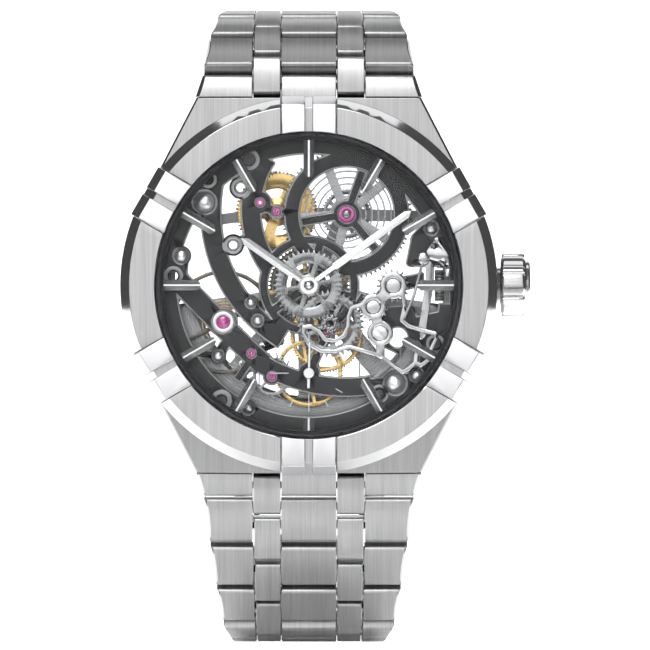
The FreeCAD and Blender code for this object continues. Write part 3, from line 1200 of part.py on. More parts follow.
def make_end_link(name, side):
    """Fixed row between the lugs: middle link under the bezel, outer links on the lug ends."""
    frame = link_frame(side, (side * (size("lug_reach") + FIRST_PIN), pin_level()), END_SLOPE)
    inner = size("centre_lane")
    start = -FIRST_PIN / math.cos(math.radians(END_SLOPE)) + 0.02
    row_last = -START - GAP
    wide = size("lug_half_width")
    narrow_section = link_section(start + 0.12, NARROW_END, 0.35, 1.25)
    outer_section = link_section(start - 1.5, row_last, 0.3, 0.8)
    middle_section = link_section(start - 1.6, row_last, 0.3, 0.8)
    lug_face = Part.makeBox(60, 20, 40, vec(-30, -20, -20))
    lug_face.rotate(vec(0, 0, 0), vec(1, 0, 0), END_SLOPE)
    lug_face.translate(vec(0, -FIRST_PIN / math.cos(math.radians(END_SLOPE)) + 0.03, 0))
    solids = [link_block(middle_section, -inner + SIDE_PLAY, inner - SIDE_PLAY)]
    for sign in (-1, 1):
        low, high = sorted((sign * (lane_edge(0) + SIDE_PLAY / 2), sign * (wide + 1)))
        block = link_block(outer_section, low, high).cut(lug_face)
        solids.append(trimmed_side(block, sign, wide + 0.1, half_width(0) + 0.1, start, row_last))
        low, high = sorted((sign * (inner + SIDE_PLAY / 2), sign * (lane_edge(0) - SIDE_PLAY / 2)))
        solids.append(link_block(narrow_section, low, high).cut(lug_face).cut(
            pin((0, 0), 12, PIN_RADIUS + 0.05)))
    fixed = pin((row_last - 1.0, -0.1), lane_edge(0) + 1.3, PIN_RADIUS - 0.05)
    solids = [block.cut(fixed) for block in solids] + [fixed]
    shape_piece(name, Part.makeCompound(solids), frame)


def clasp_arc(start, end, half_angle):
    """Centre and radius of the arc from start to end that bulges away from the wrist."""
    chord = distance(start, end)
    radius = chord / 2 / math.sin(math.radians(half_angle))
    middle = ((start[0] + end[0]) / 2, (start[1] + end[1]) / 2)
    depth = radius * math.cos(math.radians(half_angle))
    along = ((end[0] - start[0]) / chord, (end[1] - start[1]) / chord)
    inward = (along[1], -along[0]) if along[0] < 0 else (-along[1], along[0])
    inward = inward if inward[1] > 0 else (-inward[0], -inward[1])
    return (middle[0] + inward[0] * depth, middle[1] + inward[1] * depth), radius


def curved_bar(centre, radius_low, radius_high, from_angle, to_angle, half):
    """Plate bent about an axis across the bracelet."""
    edges = []
    ends = []
    for reach in (radius_low, radius_high):
        places = []
        for turn in (from_angle, (from_angle + to_angle) / 2, to_angle):
            y, z = polar(reach, turn, centre)
            places.append(vec(-half, y, z))
        edges.append(Part.Arc(*places).toShape())
        ends.append((places[0], places[2]))
    edges += [Part.makeLine(ends[0][0], ends[1][0]), Part.makeLine(ends[0][1], ends[1][1])]
    return Part.Face(Part.Wire(Part.__sortEdges__(edges))).extrude(vec(2 * half, 0, 0))


def make_clasp(start, end):
    """Folding clasp between the last upper and the last lower link."""
    half = size("bracelet_end")
    centre, radius = clasp_arc(start, end, 33)
    first, last = direction(centre, start), direction(centre, end)
    if last < first:
        last += 360
    if last - first > 180:
        last -= 360
    sign = 1 if last > first else -1

    def after_start(millimetres):
        return first + sign * math.degrees(millimetres / radius)

    def before_end(millimetres):
        return last - sign * math.degrees(millimetres / radius)

    def cross_pin(reach, turn, half_length, thickness):
        y, z = polar(reach, turn, centre)
        return Part.makeCylinder(thickness, 2 * half_length, vec(-half_length, y, z), vec(1, 0, 0))

    outer = radius + PIN_DEPTH
    hinge_a, hinge_b = after_start(3.9), before_end(2.95)
    low_axis, high_axis = outer - 2.65, outer - 1.9
    cheek_place = half - 1.2
    cover = [curved_bar(centre, outer - 1.1, outer, after_start(3.2), hinge_b, half)]
    for place in (-cheek_place, cheek_place):
        cheek = curved_bar(centre, outer - 2.5, outer - 0.5, before_end(5.2), hinge_b, 1.0)
        cheek = fused([cheek, cross_pin(high_axis, hinge_b, 1.0, 0.75)])
        cheek.translate(vec(place, 0, 0))
        cover.append(cheek)
        housing = curved_bar(centre, outer - 2.0, outer - 0.45, after_start(7.0), after_start(12.2), 1.1)
        housing.translate(vec(place + math.copysign(0.1, place), 0, 0))
        cover.append(housing)
    cover = fused(cover)
    y, z = polar(outer - 1.22, after_start(9.6), centre)
    bores = [Part.makeCylinder(0.66, 3.4, vec(side * (half - 2.6), y, z), vec(side, 0, 0)) for side in (-1, 1)]
    hinge_pin = cross_pin(high_axis, hinge_b, half - 0.5, 0.4)
    cover = cover.cut(Part.makeCompound(bores)).cut(hinge_pin)
    shape_piece("clasp_cover", Part.makeCompound([cover, hinge_pin]))
    for name, side in (("clasp_button_left", -1), ("clasp_button_right", 1)):
        lengths = ((0.6, -1.6, 0.5), (0.95, 0.5, 1.2))
        stem = [Part.makeCylinder(thick, high - low, vec(side * (half + low), y, z), vec(side, 0, 0))
                for thick, low, high in lengths]
        shape_piece(name, fused(stem))

    blade_half = half - 2.6
    knuckle = 3.25
    blade_a = curved_bar(centre, outer - 2.45, outer - 1.65, hinge_a, hinge_b, blade_half - 0.2)
    beside_knuckle = cross_pin(low_axis, hinge_a, half, 0.8).cut(cross_pin(low_axis, hinge_a, knuckle - 0.05, 1))
    blade_a = blade_a.cut(beside_knuckle)
    blade_a = fused([blade_a, cross_pin(high_axis, hinge_b, blade_half - 0.2, 0.72),
                     cross_pin(low_axis, hinge_a, knuckle - 0.05, 0.72)])
    blade_a = blade_a.cut(cross_pin(high_axis, hinge_b, half, 0.45)).cut(cross_pin(low_axis, hinge_a, half, 0.45))
    shape_piece("clasp_blade_a", blade_a)

    low, high = outer - 3.5, outer - 2.8
    tongue = size("centre_lane") - 0.15
    relief = cross_pin(low_axis, hinge_a, knuckle, 0.8)
    blade_b = curved_bar(centre, low, high, hinge_a, before_end(1.6), blade_half)
    blade_b = fused([
        blade_b, cross_pin(low_axis, hinge_a, blade_half, 0.72),
        curved_bar(centre, low, high, before_end(2.4), before_end(-0.5), tongue),
        curved_bar(centre, low, radius, before_end(0.5), before_end(-0.5), tongue),
        cross_pin(radius, last, tongue, 0.95)])
    blade_b = blade_b.cut(relief)
    blade_b = fused([blade_b, cross_pin(low_axis, hinge_a, blade_half, 0.4),
                     cross_pin(radius, last, lane_edge(9) - 0.1, PIN_RADIUS)])
    shape_piece("clasp_blade_b", blade_b)


# ---------------------------------------------------------------- build and write

def make_bracelet():
    make_end_link("end_link_12", 1)
    make_end_link("end_link_6", -1)
    ends = []
    for side, hour, turns in ((1, 12, UPPER_TURNS), (-1, 6, LOWER_TURNS)):
        pins = chain(side, turns)
        for number, (place, turn) in enumerate(zip(pins, turns)):
            make_link(f"link_{hour}_{number + 1}", link_frame(side, place, turn), number)
        ends.append(pins[-1])
    return make_clasp(*ends)


make_case_middle()
make_bezel()
make_bezel_claws()
make_turned_case_parts()
make_crown()
make_train()
make_escapement()
make_motion_works()
make_winding()
make_hands()
make_markers()
make_main_plate()
make_train_bridge()
make_jewels_and_screws()
make_winding_system()
make_bracelet()

for piece in PIECES:
    if piece.TypeId == "PartDesign::Body":
        piece.Placement = DIAL * CLAW_TURN if piece.Label == "bezel" else DIAL
document.recompute()

for item in document.Objects:
    if "Invalid" in item.State or "Error" in item.State:
        raise ValueError(f"{item.Label} did not compute: {item.State}")
os.makedirs("parts", exist_ok=True)
for piece in PIECES:
    if piece.Shape.isNull() or not piece.Shape.isValid():
        raise ValueError(f"{piece.Label} is not a valid shape")
    piece.Shape.exportStep(f"parts/{piece.Label}.step")
    print(piece.Label, len(piece.Shape.Solids), round(piece.Shape.Volume, 2))
print(len(PIECES), "pieces")
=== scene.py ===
import math

import bmesh
import bpy
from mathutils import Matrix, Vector


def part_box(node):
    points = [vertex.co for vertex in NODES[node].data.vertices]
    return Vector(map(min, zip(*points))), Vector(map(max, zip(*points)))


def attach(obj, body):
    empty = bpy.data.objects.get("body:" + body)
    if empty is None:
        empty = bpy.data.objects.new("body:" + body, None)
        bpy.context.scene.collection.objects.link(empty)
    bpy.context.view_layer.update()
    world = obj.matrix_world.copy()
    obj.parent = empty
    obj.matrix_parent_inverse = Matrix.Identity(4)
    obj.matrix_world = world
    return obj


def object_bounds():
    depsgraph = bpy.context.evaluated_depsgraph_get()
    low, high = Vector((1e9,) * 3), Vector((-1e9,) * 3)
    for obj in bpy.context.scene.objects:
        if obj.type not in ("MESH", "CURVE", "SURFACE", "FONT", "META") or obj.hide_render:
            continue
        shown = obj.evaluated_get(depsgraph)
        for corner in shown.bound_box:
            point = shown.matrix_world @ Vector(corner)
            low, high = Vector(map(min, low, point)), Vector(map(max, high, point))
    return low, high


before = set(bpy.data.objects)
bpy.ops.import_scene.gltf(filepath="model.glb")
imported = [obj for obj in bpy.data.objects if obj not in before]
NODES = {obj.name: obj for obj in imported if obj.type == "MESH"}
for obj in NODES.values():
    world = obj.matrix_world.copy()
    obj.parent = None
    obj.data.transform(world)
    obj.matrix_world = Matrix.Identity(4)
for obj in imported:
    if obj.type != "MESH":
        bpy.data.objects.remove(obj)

bl_info = {
    "name": "Skeleton wristwatch finishing",
    "version": (1, 0, 0),
    "blender": (4, 5, 0),
    "location": "3D View > Sidebar > Watch",
    "description": "Finishes for an open-worked automatic wristwatch and the studio it stands in",
    "category": "Object",
}

CASE_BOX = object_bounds()
MM = 0.001
MICRON = 1e-6
WELD_REACH = 0.2 * MICRON
GRAIN_DEPTH, BLAST_DEPTH = 3 * MICRON, 5 * MICRON
CORNER_ANGLE, FACET_ANGLE = 40.0, 12.0      # sharper turns than this, in degrees, are bevelled
CASE_PAINTED_SHADE, LINK_PAINTED_SHADE = 0.62, 0.78         # painted shade: the case middle and the links are darker copies of the bezel's steel
BRIGHT_STEEL = (0.8, 0.8, 0.81)
HANDS_AXIS = (0.0, 0.0, 0.0)
GILT_WHEELS = ("centre_wheel", "third_wheel", "fourth_wheel", "reduction_wheel")
STEEL_WHEELS = ("barrel", "ratchet_wheel", "hour_wheel", "minute_wheel", "setting_wheel_a",
                "setting_wheel_b", "escape_wheel", "sliding_pinion")


# ---------------------------------------------------------------- shader helpers

class Value:
    """A number on its way through the shader, which Python's operators can work on."""

    def __init__(self, finish, socket):
        self.finish = finish
        self.socket = socket

    def maths(self, operation, first, second, clamp=False):
        return self.finish.node("ShaderNodeMath", {"operation": operation, "use_clamp": clamp},
                                {0: first, 1: second})

    def __add__(self, other):
        return self.maths("ADD", self, other)

    def __radd__(self, other):
        return self.maths("ADD", other, self)

    def __sub__(self, other):
        return self.maths("SUBTRACT", self, other)

    def __rsub__(self, other):
        return self.maths("SUBTRACT", other, self)

    def __mul__(self, other):
        return self.maths("MULTIPLY", self, other)

    def __rmul__(self, other):
        return self.maths("MULTIPLY", other, self)

    def __truediv__(self, other):
        return self.maths("DIVIDE", self, other)

    def __abs__(self):
        return self.maths("ABSOLUTE", self, 0.0)

    def root(self):
        return self.maths("SQRT", self, 0.0)

    def ramp(self, low, high):
        """0 at low, 1 at high, held between them."""
        return self.maths("MULTIPLY", self - low, 1.0 / (high - low), clamp=True)


class Finish:
    """One material and the nodes behind it."""

    def __init__(self, name, **constants):
        self.material = bpy.data.materials.new(name)
        self.material.use_nodes = True
        self.tree = self.material.node_tree
        self.shader = self.tree.nodes["Principled BSDF"]
        self.output = self.tree.nodes["Material Output"]
        for socket, value in constants.items():
            self.shader.inputs[socket.replace("_", " ")].default_value = value
        self.coordinates = None

    def node(self, kind, settings, inputs, output=0):
        made = self.tree.nodes.new(kind)
        for setting, value in settings.items():
            setattr(made, setting, value)
        for socket, value in inputs.items():
            self.feed(made.inputs[socket], value)
        return Value(self, made.outputs[output])

    def feed(self, socket, value):
        if isinstance(value, Value):
            self.tree.links.new(value.socket, socket)
        else:
            socket.default_value = value

    def set(self, **values):
        for socket, value in values.items():
            self.feed(self.shader.inputs[socket.replace("_", " ")], value)

    def coordinate(self, output):
        if self.coordinates is None:
            self.coordinates = self.tree.nodes.new("ShaderNodeTexCoord")
        return Value(self, self.coordinates.outputs[output])

    def parts(self, vector):
        made = self.tree.nodes.new("ShaderNodeSeparateXYZ")
        self.tree.links.new(vector.socket, made.inputs[0])
        return [Value(self, socket) for socket in made.outputs]

    def place(self):
        """x, y and z on the piece, in metres."""
        return self.parts(self.coordinate("Object"))

    def facing(self):
        """x, y and z of the surface's outward direction."""
        return self.parts(self.coordinate("Normal"))

    def vector(self, x, y, z):
        return self.node("ShaderNodeCombineXYZ", {}, {0: x, 1: y, 2: z})

    def noise(self, vector, scales=None, detail=2.0, roughness=0.55):
        if scales is not None:
            vector = self.node("ShaderNodeVectorMath", {"operation": "MULTIPLY"}, {0: vector, 1: scales})
        return self.node("ShaderNodeTexNoise", {},
                         {"Vector": vector, "Scale": 1.0, "Detail": detail, "Roughness": roughness})

    def blend(self, share, first, second):
        """Colour between two colours."""
        return self.node("ShaderNodeMix", {"data_type": "RGBA"}, {0: share, 6: first, 7: second}, output=2)

    def bump(self, height, strength, distance):
        normal = self.node("ShaderNodeBump", {},
                           {"Strength": strength, "Distance": distance, "Height": height})
        self.set(Normal=normal)


def shade(tint, factor):
    """A colour made lighter or darker, as four numbers."""
    return tuple(min(1.0, channel * factor) for channel in tint[:3]) + (1.0,)


def streaks(finish, scales):
    """Fine brushing lines, 0 to 1, with broader ones among them."""
    where = finish.coordinate("Object")
    fine = finish.noise(where, scales, detail=3.0, roughness=0.7)
    broad = finish.noise(where, tuple(scale * 0.22 for scale in scales), detail=2.0)
    return (fine * 0.65 + broad * 0.35).ramp(0.33, 0.67)


def brushed(name, tint, scales, polish=None, rough=0.33, contrast=0.22):
    """Brushed steel; polish(finish) gives the share of the surface that is mirror polished."""
    finish = Finish(name, Metallic=1.0)
    lines = streaks(finish, scales)
    colour = finish.blend(lines, shade(tint, 1.0 - contrast), shade(tint, 1.0 + contrast * 0.5))
    roughness = lines * 0.14 + (rough - 0.05)
    height = lines
    if polish is not None:
        share = polish(finish)
        colour = finish.blend(share, colour, shade(tint, 1.22))
        roughness = roughness * (1.0 - share) + share * 0.09
        height = lines * (1.0 - share)
    finish.set(Base_Color=colour, Roughness=roughness)
    finish.bump(height, 0.35, GRAIN_DEPTH)
    return finish.material


def polished(name, tint, rough=0.08):
    """Mirror polished metal with faint handling marks."""
    finish = Finish(name, Metallic=1.0)
    marks = finish.noise(finish.coordinate("Object"), (900.0, 900.0, 900.0), detail=4.0)
    finish.set(Base_Color=finish.blend(marks, shade(tint, 0.94), shade(tint, 1.04)),
               Roughness=marks * 0.05 + rough)
    return finish.material


def blasted(name, tint, rough=0.5, metallic=0.9, grain=11000.0, contrast=0.3):
    """Fine sandblasted metal under a galvanic coat."""
    finish = Finish(name, Metallic=metallic)
    where = finish.coordinate("Object")
    speckle = finish.noise(where, (grain,) * 3, detail=2.0, roughness=0.7).ramp(0.3, 0.7)
    cloud = finish.noise(where, (420.0,) * 3, detail=3.0).ramp(0.3, 0.7)
    share = speckle * 0.7 + cloud * 0.3
    finish.set(Base_Color=finish.blend(share, shade(tint, 1.0 - contrast), shade(tint, 1.0 + contrast)),
               Roughness=speckle * 0.12 + (rough - 0.06))
    finish.bump(speckle, 0.4, BLAST_DEPTH)
    return finish.material


def turned(name, tint, centre, rough=0.27, rings=9000.0, contrast=0.22, metallic=1.0):
    """Circular graining about an axis that points out of the dial."""
    finish = Finish(name, Metallic=metallic)
    x, y, z = finish.place()
    across, up = x - centre[0], z - centre[2]
    reach = (across * across + up * up).root()
    rim = finish.vector(reach * rings, y * 2000.0, 0.0)
    lines = finish.noise(rim, None, detail=2.0, roughness=0.7).ramp(0.32, 0.68)
    soft = finish.noise(finish.coordinate("Object"), (700.0,) * 3, detail=2.0)
    share = lines * 0.75 + soft * 0.25
    finish.set(Base_Color=finish.blend(share, shade(tint, 1.0 - contrast), shade(tint, 1.0 + contrast * 0.6)),
               Roughness=lines * 0.12 + (rough - 0.05))
    finish.bump(lines, 0.3, GRAIN_DEPTH)
    return finish.material


def outer_bevels(finish):
    """Polish on surfaces that lean sideways: the bevels along a row of links."""
    x, y, z = finish.facing()
    lean = abs(x)
    return lean.ramp(0.22, 0.3) * (1.0 - lean.ramp(0.9, 0.96))


def off_axis(finish):
    """Polish on surfaces that are neither level with the dial nor square to it."""
    x, y, z = finish.facing()
    level = abs(y)
    return (1.0 - level.ramp(0.93, 0.97)) * level.ramp(0.16, 0.24)


# ---------------------------------------------------------------- dressing of the pieces

def dress(names, *materials):
    for name in names:
        slots = NODES[name].data.materials
        slots.clear()
        for material in materials:
            slots.append(material)


def soften(names, width, segments=2, edge_slot=None, angle=28.0, smooth=True):
    """Rounds or bevels the edges of CAD pieces; edge_slot gives the bevels their own finish."""
    for name in names:
        piece = NODES[name]
        piece.data.polygons.foreach_set("use_smooth", [smooth] * len(piece.data.polygons))
        weld = piece.modifiers.new("weld", "WELD")
        weld.merge_threshold = WELD_REACH
        bevel = piece.modifiers.new("edges", "BEVEL")
        bevel.width = width * MM
        bevel.segments = segments
        bevel.limit_method = "ANGLE"
        bevel.angle_limit = math.radians(angle)
        bevel.use_clamp_overlap = False
        bevel.miter_outer = "MITER_ARC" if segments > 1 else "MITER_SHARP"
        if edge_slot is not None:
            bevel.material = edge_slot
        if smooth:
            piece.modifiers.new("shading", "WEIGHTED_NORMAL").keep_sharp = True


def centre_of(name):
    low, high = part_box(name)
    return (low + high) / 2


def prefixed(*starts):
    return sorted(name for name in NODES if name.startswith(starts))


class WatchFinishes(bpy.types.PropertyGroup):
    steel: bpy.props.FloatVectorProperty(
        name="Steel", description="Colour of the brushed steel", subtype="COLOR", size=3,
        default=(0.56, 0.56, 0.565), min=0.0, max=1.0)
    plate: bpy.props.FloatVectorProperty(
        name="Plate", description="Colour of the open-worked main plate", subtype="COLOR", size=3,
        default=(0.052, 0.052, 0.054), min=0.0, max=1.0)
    bridge: bpy.props.FloatVectorProperty(
        name="Rear bridge", description="Colour of the rear bridge and the rotor", subtype="COLOR", size=3,
        default=(0.34, 0.34, 0.345), min=0.0, max=1.0)
    gilt: bpy.props.FloatVectorProperty(
        name="Gilt brass", description="Colour of the gilt wheels", subtype="COLOR", size=3,
        default=(0.83, 0.58, 0.24), min=0.0, max=1.0)
    ruby: bpy.props.FloatVectorProperty(
        name="Ruby", description="Colour of the jewels", subtype="COLOR", size=3,
        default=(0.36, 0.02, 0.21), min=0.0, max=1.0)
    edge: bpy.props.FloatProperty(
        name="Plate bevel", description="Width of the bright bevel along the main plate's edges, in mm",
        default=0.16, min=0.02, max=0.3)
    link_edge: bpy.props.FloatProperty(
        name="Link edges", description="Rounding of the link edges, in mm", default=0.1, min=0.02, max=0.3)


class WatchStage(bpy.types.PropertyGroup):
    distance: bpy.props.FloatProperty(
        name="Camera distance", description="Camera to the hands' axis", default=1.2, min=0.3,
        unit="LENGTH", subtype="DISTANCE")
    view_width: bpy.props.FloatProperty(
        name="View width", description="Width that the picture covers at the bezel", default=0.06708,
        min=0.02, unit="LENGTH", subtype="DISTANCE")
    view_centre: bpy.props.FloatVectorProperty(
        name="View centre", description="Right and up offset of the picture's centre from the hands",
        size=2, default=(0.00167, -0.0041), unit="LENGTH", subtype="TRANSLATION")
    key: bpy.props.FloatProperty(
        name="Key light", description="Power of the large light above the camera, in watts",
        default=4.0, min=0.0)
    front: bpy.props.FloatProperty(
        name="Front light", description="Power of the light around the camera, in watts",
        default=11.0, min=0.0)
    top: bpy.props.FloatProperty(
        name="Top light", description="Power of the light above the watch, in watts", default=0.9, min=0.0)
    inside: bpy.props.FloatProperty(
        name="Inner light", description="Power of the light inside the bracelet's loop, in watts",
        default=0.012, min=0.0)
    side: bpy.props.FloatProperty(
        name="Side lights", description="Power of the strip lights at the sides, in watts",
        default=1.2, min=0.0)
    back: bpy.props.FloatProperty(
        name="Backdrop light", description="Power of the light on the backdrop, in watts",
        default=26.0, min=0.0)


# ---------------------------------------------------------------- one operator per group of pieces

class WATCH_OT_case(bpy.types.Operator):
    """Brush the case and bezel and polish their bevels and claws"""
    bl_idname = "watch.case"
    bl_label = "Case and bezel"

    def execute(self, context):
        steel = tuple(context.scene.watch_finishes.steel)
        # painted shade: the case middle gets a darker copy of the bezel's brushed steel
        dress(["case_middle"], brushed("brushed_case", shade(steel, CASE_PAINTED_SHADE), (7000.0, 260.0, 120.0),
                                       off_axis, rough=0.36))
        dress(["bezel"], brushed("brushed_bezel", steel, (7600.0, 300.0, 90.0), off_axis, rough=0.34))
        dress(["bezel_claws"], polished("polished_claws", (0.68, 0.68, 0.69), 0.12))
        dress(["case_back"], turned("turned_case_back", steel, HANDS_AXIS, rings=5200.0))
        dress(["case_back_screws"], polished("polished_screws", BRIGHT_STEEL))
        soften(["case_middle", "case_back"], 0.1)
        soften(["bezel", "bezel_claws"], 0.07)
        soften(["case_back_screws"], 0.05)
        return {"FINISHED"}


class WATCH_OT_crown(bpy.types.Operator):
    """Brush the crown's flanks and polish its bars"""
    bl_idname = "watch.crown"
    bl_label = "Crown"

    def execute(self, context):
        steel = tuple(context.scene.watch_finishes.steel)
        dress(["crown"], brushed("brushed_crown", steel, (260.0, 6000.0, 6000.0), off_axis, rough=0.26))
        soften(["crown"], 0.07)
        return {"FINISHED"}


class WATCH_OT_bracelet(bpy.types.Operator):
    """Brush the links lengthwise and polish their outer bevels"""
    bl_idname = "watch.bracelet"
    bl_label = "Bracelet"

    def execute(self, context):
        looks = context.scene.watch_finishes
        links = prefixed("link_", "end_link_")
        # painted shade: the links get a darker copy of the bezel's brushed steel
        dress(links, brushed("brushed_links", shade(tuple(looks.steel), LINK_PAINTED_SHADE), (7200.0, 170.0, 170.0),
                             outer_bevels, rough=0.35))
        soften(links, looks.link_edge, 3)
        return {"FINISHED"}


class WATCH_OT_clasp(bpy.types.Operator):
    """Brush the folding clasp and polish its buttons"""
    bl_idname = "watch.clasp"
    bl_label = "Folding clasp"

    def execute(self, context):
        steel = tuple(context.scene.watch_finishes.steel)
        dress(["clasp_cover", "clasp_blade_a", "clasp_blade_b"],
              brushed("brushed_clasp", steel, (6500.0, 150.0, 150.0), outer_bevels, rough=0.34))
        dress(prefixed("clasp_button"), polished("polished_buttons", BRIGHT_STEEL))
        soften(["clasp_cover", "clasp_blade_a", "clasp_blade_b"], 0.12)
        soften(prefixed("clasp_button"), 0.1)
        return {"FINISHED"}


class WATCH_OT_crystals(bpy.types.Operator):
    """Clear crystals with a faint reflection"""
    bl_idname = "watch.crystals"
    bl_label = "Crystals"

    def execute(self, context):
        finish = Finish("clear_crystal")
        clear = finish.node("ShaderNodeBsdfTransparent", {}, {"Color": (0.985, 0.99, 0.99, 1.0)})
        gloss = finish.node("ShaderNodeBsdfGlossy", {}, {"Color": (1.0, 1.0, 1.0, 1.0), "Roughness": 0.02})
        grazing = finish.node("ShaderNodeFresnel", {}, {"IOR": 1.18})
        mixed = finish.node("ShaderNodeMixShader", {}, {0: grazing, 1: clear, 2: gloss})
        finish.feed(finish.output.inputs["Surface"], mixed)
        dress(["front_crystal", "back_crystal"], finish.material)
        return {"FINISHED"}


class WATCH_OT_plates(bpy.types.Operator):
    """Sandblast the open-worked plates and brighten their bevelled edges"""
    bl_idname = "watch.plates"
    bl_label = "Plates and rotor"

    def execute(self, context):
        looks = context.scene.watch_finishes
        edge = blasted("bevelled_edge", (0.42, 0.42, 0.425), rough=0.4, metallic=0.45, contrast=0.12)
        dress(["main_plate"], blasted("blasted_plate", tuple(looks.plate)), edge)
        dress(["train_bridge"], blasted("blasted_bridge", tuple(looks.bridge), rough=0.42), edge)
        dress(["rotor"], turned("turned_rotor", tuple(looks.bridge), HANDS_AXIS, rings=4200.0), edge)
        soften(["main_plate"], looks.edge, 1, 1, CORNER_ANGLE)
        soften(["train_bridge", "rotor"], 0.08, 1, 1, CORNER_ANGLE)
        dress(["flange_ring"], turned("dark_flange", (0.05, 0.05, 0.055), HANDS_AXIS, rough=0.3,
                                      metallic=0.7))
        soften(["flange_ring"], 0.05)
        return {"FINISHED"}


class WATCH_OT_wheels(bpy.types.Operator):
    """Circular graining on the gilt and steel wheels"""
    bl_idname = "watch.wheels"
    bl_label = "Wheels"

    def execute(self, context):
        gilt, grey = tuple(context.scene.watch_finishes.gilt), (0.36, 0.36, 0.37)
        for name in GILT_WHEELS:
            dress([name], turned(f"gilt_{name}", gilt, centre_of(name)))
        for name in STEEL_WHEELS:
            dress([name], turned(f"steel_{name}", grey, centre_of(name)))
        dress(["mainspring"], polished("spring_steel", (0.3, 0.31, 0.33), 0.25))
        soften(GILT_WHEELS + STEEL_WHEELS, 0.03, 1, None, CORNER_ANGLE)
        return {"FINISHED"}


class WATCH_OT_escapement(bpy.types.Operator):
    """Dark balance rim with gilt weights, gilt hairspring and steel fork"""
    bl_idname = "watch.escapement"
    bl_label = "Balance and escapement"

    def execute(self, context):
        gilt = tuple(context.scene.watch_finishes.gilt)
        middle = centre_of("balance_wheel")
        finish = Finish("balance_rim", Metallic=1.0)
        x, y, z = finish.place()
        across, up = x - middle[0], z - middle[2]
        reach = (across * across + up * up).root()
        low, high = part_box("balance_wheel")
        radius = (high[0] - low[0]) / 2
        weights = reach.ramp(radius - 0.1 * MM, radius - 0.07 * MM)
        lines = finish.noise(finish.coordinate("Object"), (3000.0,) * 3)
        rim = finish.blend(lines, (0.10, 0.095, 0.09, 1.0), (0.2, 0.19, 0.17, 1.0))
        finish.set(Base_Color=finish.blend(weights, rim, shade(gilt, 1.0)),
                   Roughness=lines * 0.1 + 0.24)
        dress(["balance_wheel"], finish.material)
        dress(["hairspring"], polished("gilt_hairspring", (0.8, 0.58, 0.28), 0.2))
        dress(["pallet_fork"], polished("steel_fork", (0.7, 0.7, 0.71), 0.14))
        soften(["balance_wheel", "pallet_fork"], 0.03, 1, None, CORNER_ANGLE)
        return {"FINISHED"}


class WATCH_OT_keyless_works(bpy.types.Operator):
    """Bright springs and levers of the hand-setting works"""
    bl_idname = "watch.keyless_works"
    bl_label = "Hand-setting works"

    def execute(self, context):
        works = ["keyless_plate", "setting_lever", "yoke"]
        dress(works, brushed("satin_springs", (0.6, 0.6, 0.61), (5200.0, 300.0, 300.0), off_axis,
                             rough=0.3, contrast=0.12), polished("spring_edge", (0.3, 0.3, 0.31), 0.2))
        soften(works, 0.05, 1, 1, CORNER_ANGLE)
        return {"FINISHED"}


class WATCH_OT_jewels_and_screws(bpy.types.Operator):
    """Ruby bearings and domed steel screws"""
    bl_idname = "watch.jewels_and_screws"
    bl_label = "Jewels and screws"

    def execute(self, context):
        ruby = tuple(context.scene.watch_finishes.ruby)
        finish = Finish("ruby", Roughness=0.08, Coat_Weight=1.0, IOR=1.76)
        depth = finish.noise(finish.coordinate("Object"), (2600.0,) * 3, detail=3.0)
        finish.set(Base_Color=finish.blend(depth, shade(ruby, 0.8), shade(ruby, 1.5)))
        dress(["jewels"], finish.material)
        dress(["movement_screws"], polished("domed_screws", (0.9, 0.9, 0.91), 0.3))
        soften(["jewels", "movement_screws"], 0.04, 2, None, CORNER_ANGLE)
        return {"FINISHED"}


class WATCH_OT_hands_and_markers(bpy.types.Operator):
    """Faceted hands and markers"""
    bl_idname = "watch.hands_and_markers"
    bl_label = "Hands and markers"

    def execute(self, context):
        faceted = ["hour_hand", "minute_hand", "seconds_hand", "hour_markers"]
        dress(faceted, polished("polished_hands", (0.84, 0.84, 0.85), 0.2))
        soften(faceted, 0.03, 1, None, FACET_ANGLE, smooth=False)
        return {"FINISHED"}


class WATCH_OT_seconds_track(bpy.types.Operator):
    """Short and long strokes of the small seconds, printed just above the main plate"""
    bl_idname = "watch.seconds_track"
    bl_label = "Small seconds track"

    LEVEL, THICKNESS = -7.91 * MM, 0.03 * MM
    OUTER, LONG_INNER, SHORT_INNER = 4.0 * MM, 2.1 * MM, 3.2 * MM
    WIDTH = 0.09 * MM
    STROKES, LONG_EVERY = 12, 3

    def stroke(self, mesh, middle, turn, inner):
        """One flat bar from inner to the track's outer edge."""
        along = Vector((math.sin(turn), 0, math.cos(turn)))
        aside = Vector((math.cos(turn), 0, -math.sin(turn))) * self.WIDTH / 2
        rings = []
        for level in (self.LEVEL, self.LEVEL - self.THICKNESS):
            lift = Vector((middle[0], level, middle[2]))
            rings.append([mesh.verts.new(lift + along * reach + aside * side) for reach, side in (
                (inner, -1), (inner, 1), (self.OUTER, 1), (self.OUTER, -1))])
        low, high = rings
        mesh.faces.new(low)
        mesh.faces.new(high[::-1])
        for corner in range(4):
            after = (corner + 1) % 4
            mesh.faces.new((low[corner], high[corner], high[after], low[after]))

    def execute(self, context):
        middle = centre_of("fourth_wheel")
        mesh = bmesh.new()
        for step in range(self.STROKES):
            self.stroke(mesh, middle, math.radians(360 / self.STROKES * step),
                        self.SHORT_INNER if step % self.LONG_EVERY else self.LONG_INNER)
        bmesh.ops.recalc_face_normals(mesh, faces=mesh.faces)
        data = bpy.data.meshes.new("seconds_track")
        mesh.to_mesh(data)
        mesh.free()
        track = bpy.data.objects.new("seconds_track", data)
        context.scene.collection.objects.link(track)
        data.materials.append(polished("track_paint", (0.7, 0.7, 0.71), 0.3))
        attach(track, "case")
        return {"FINISHED"}


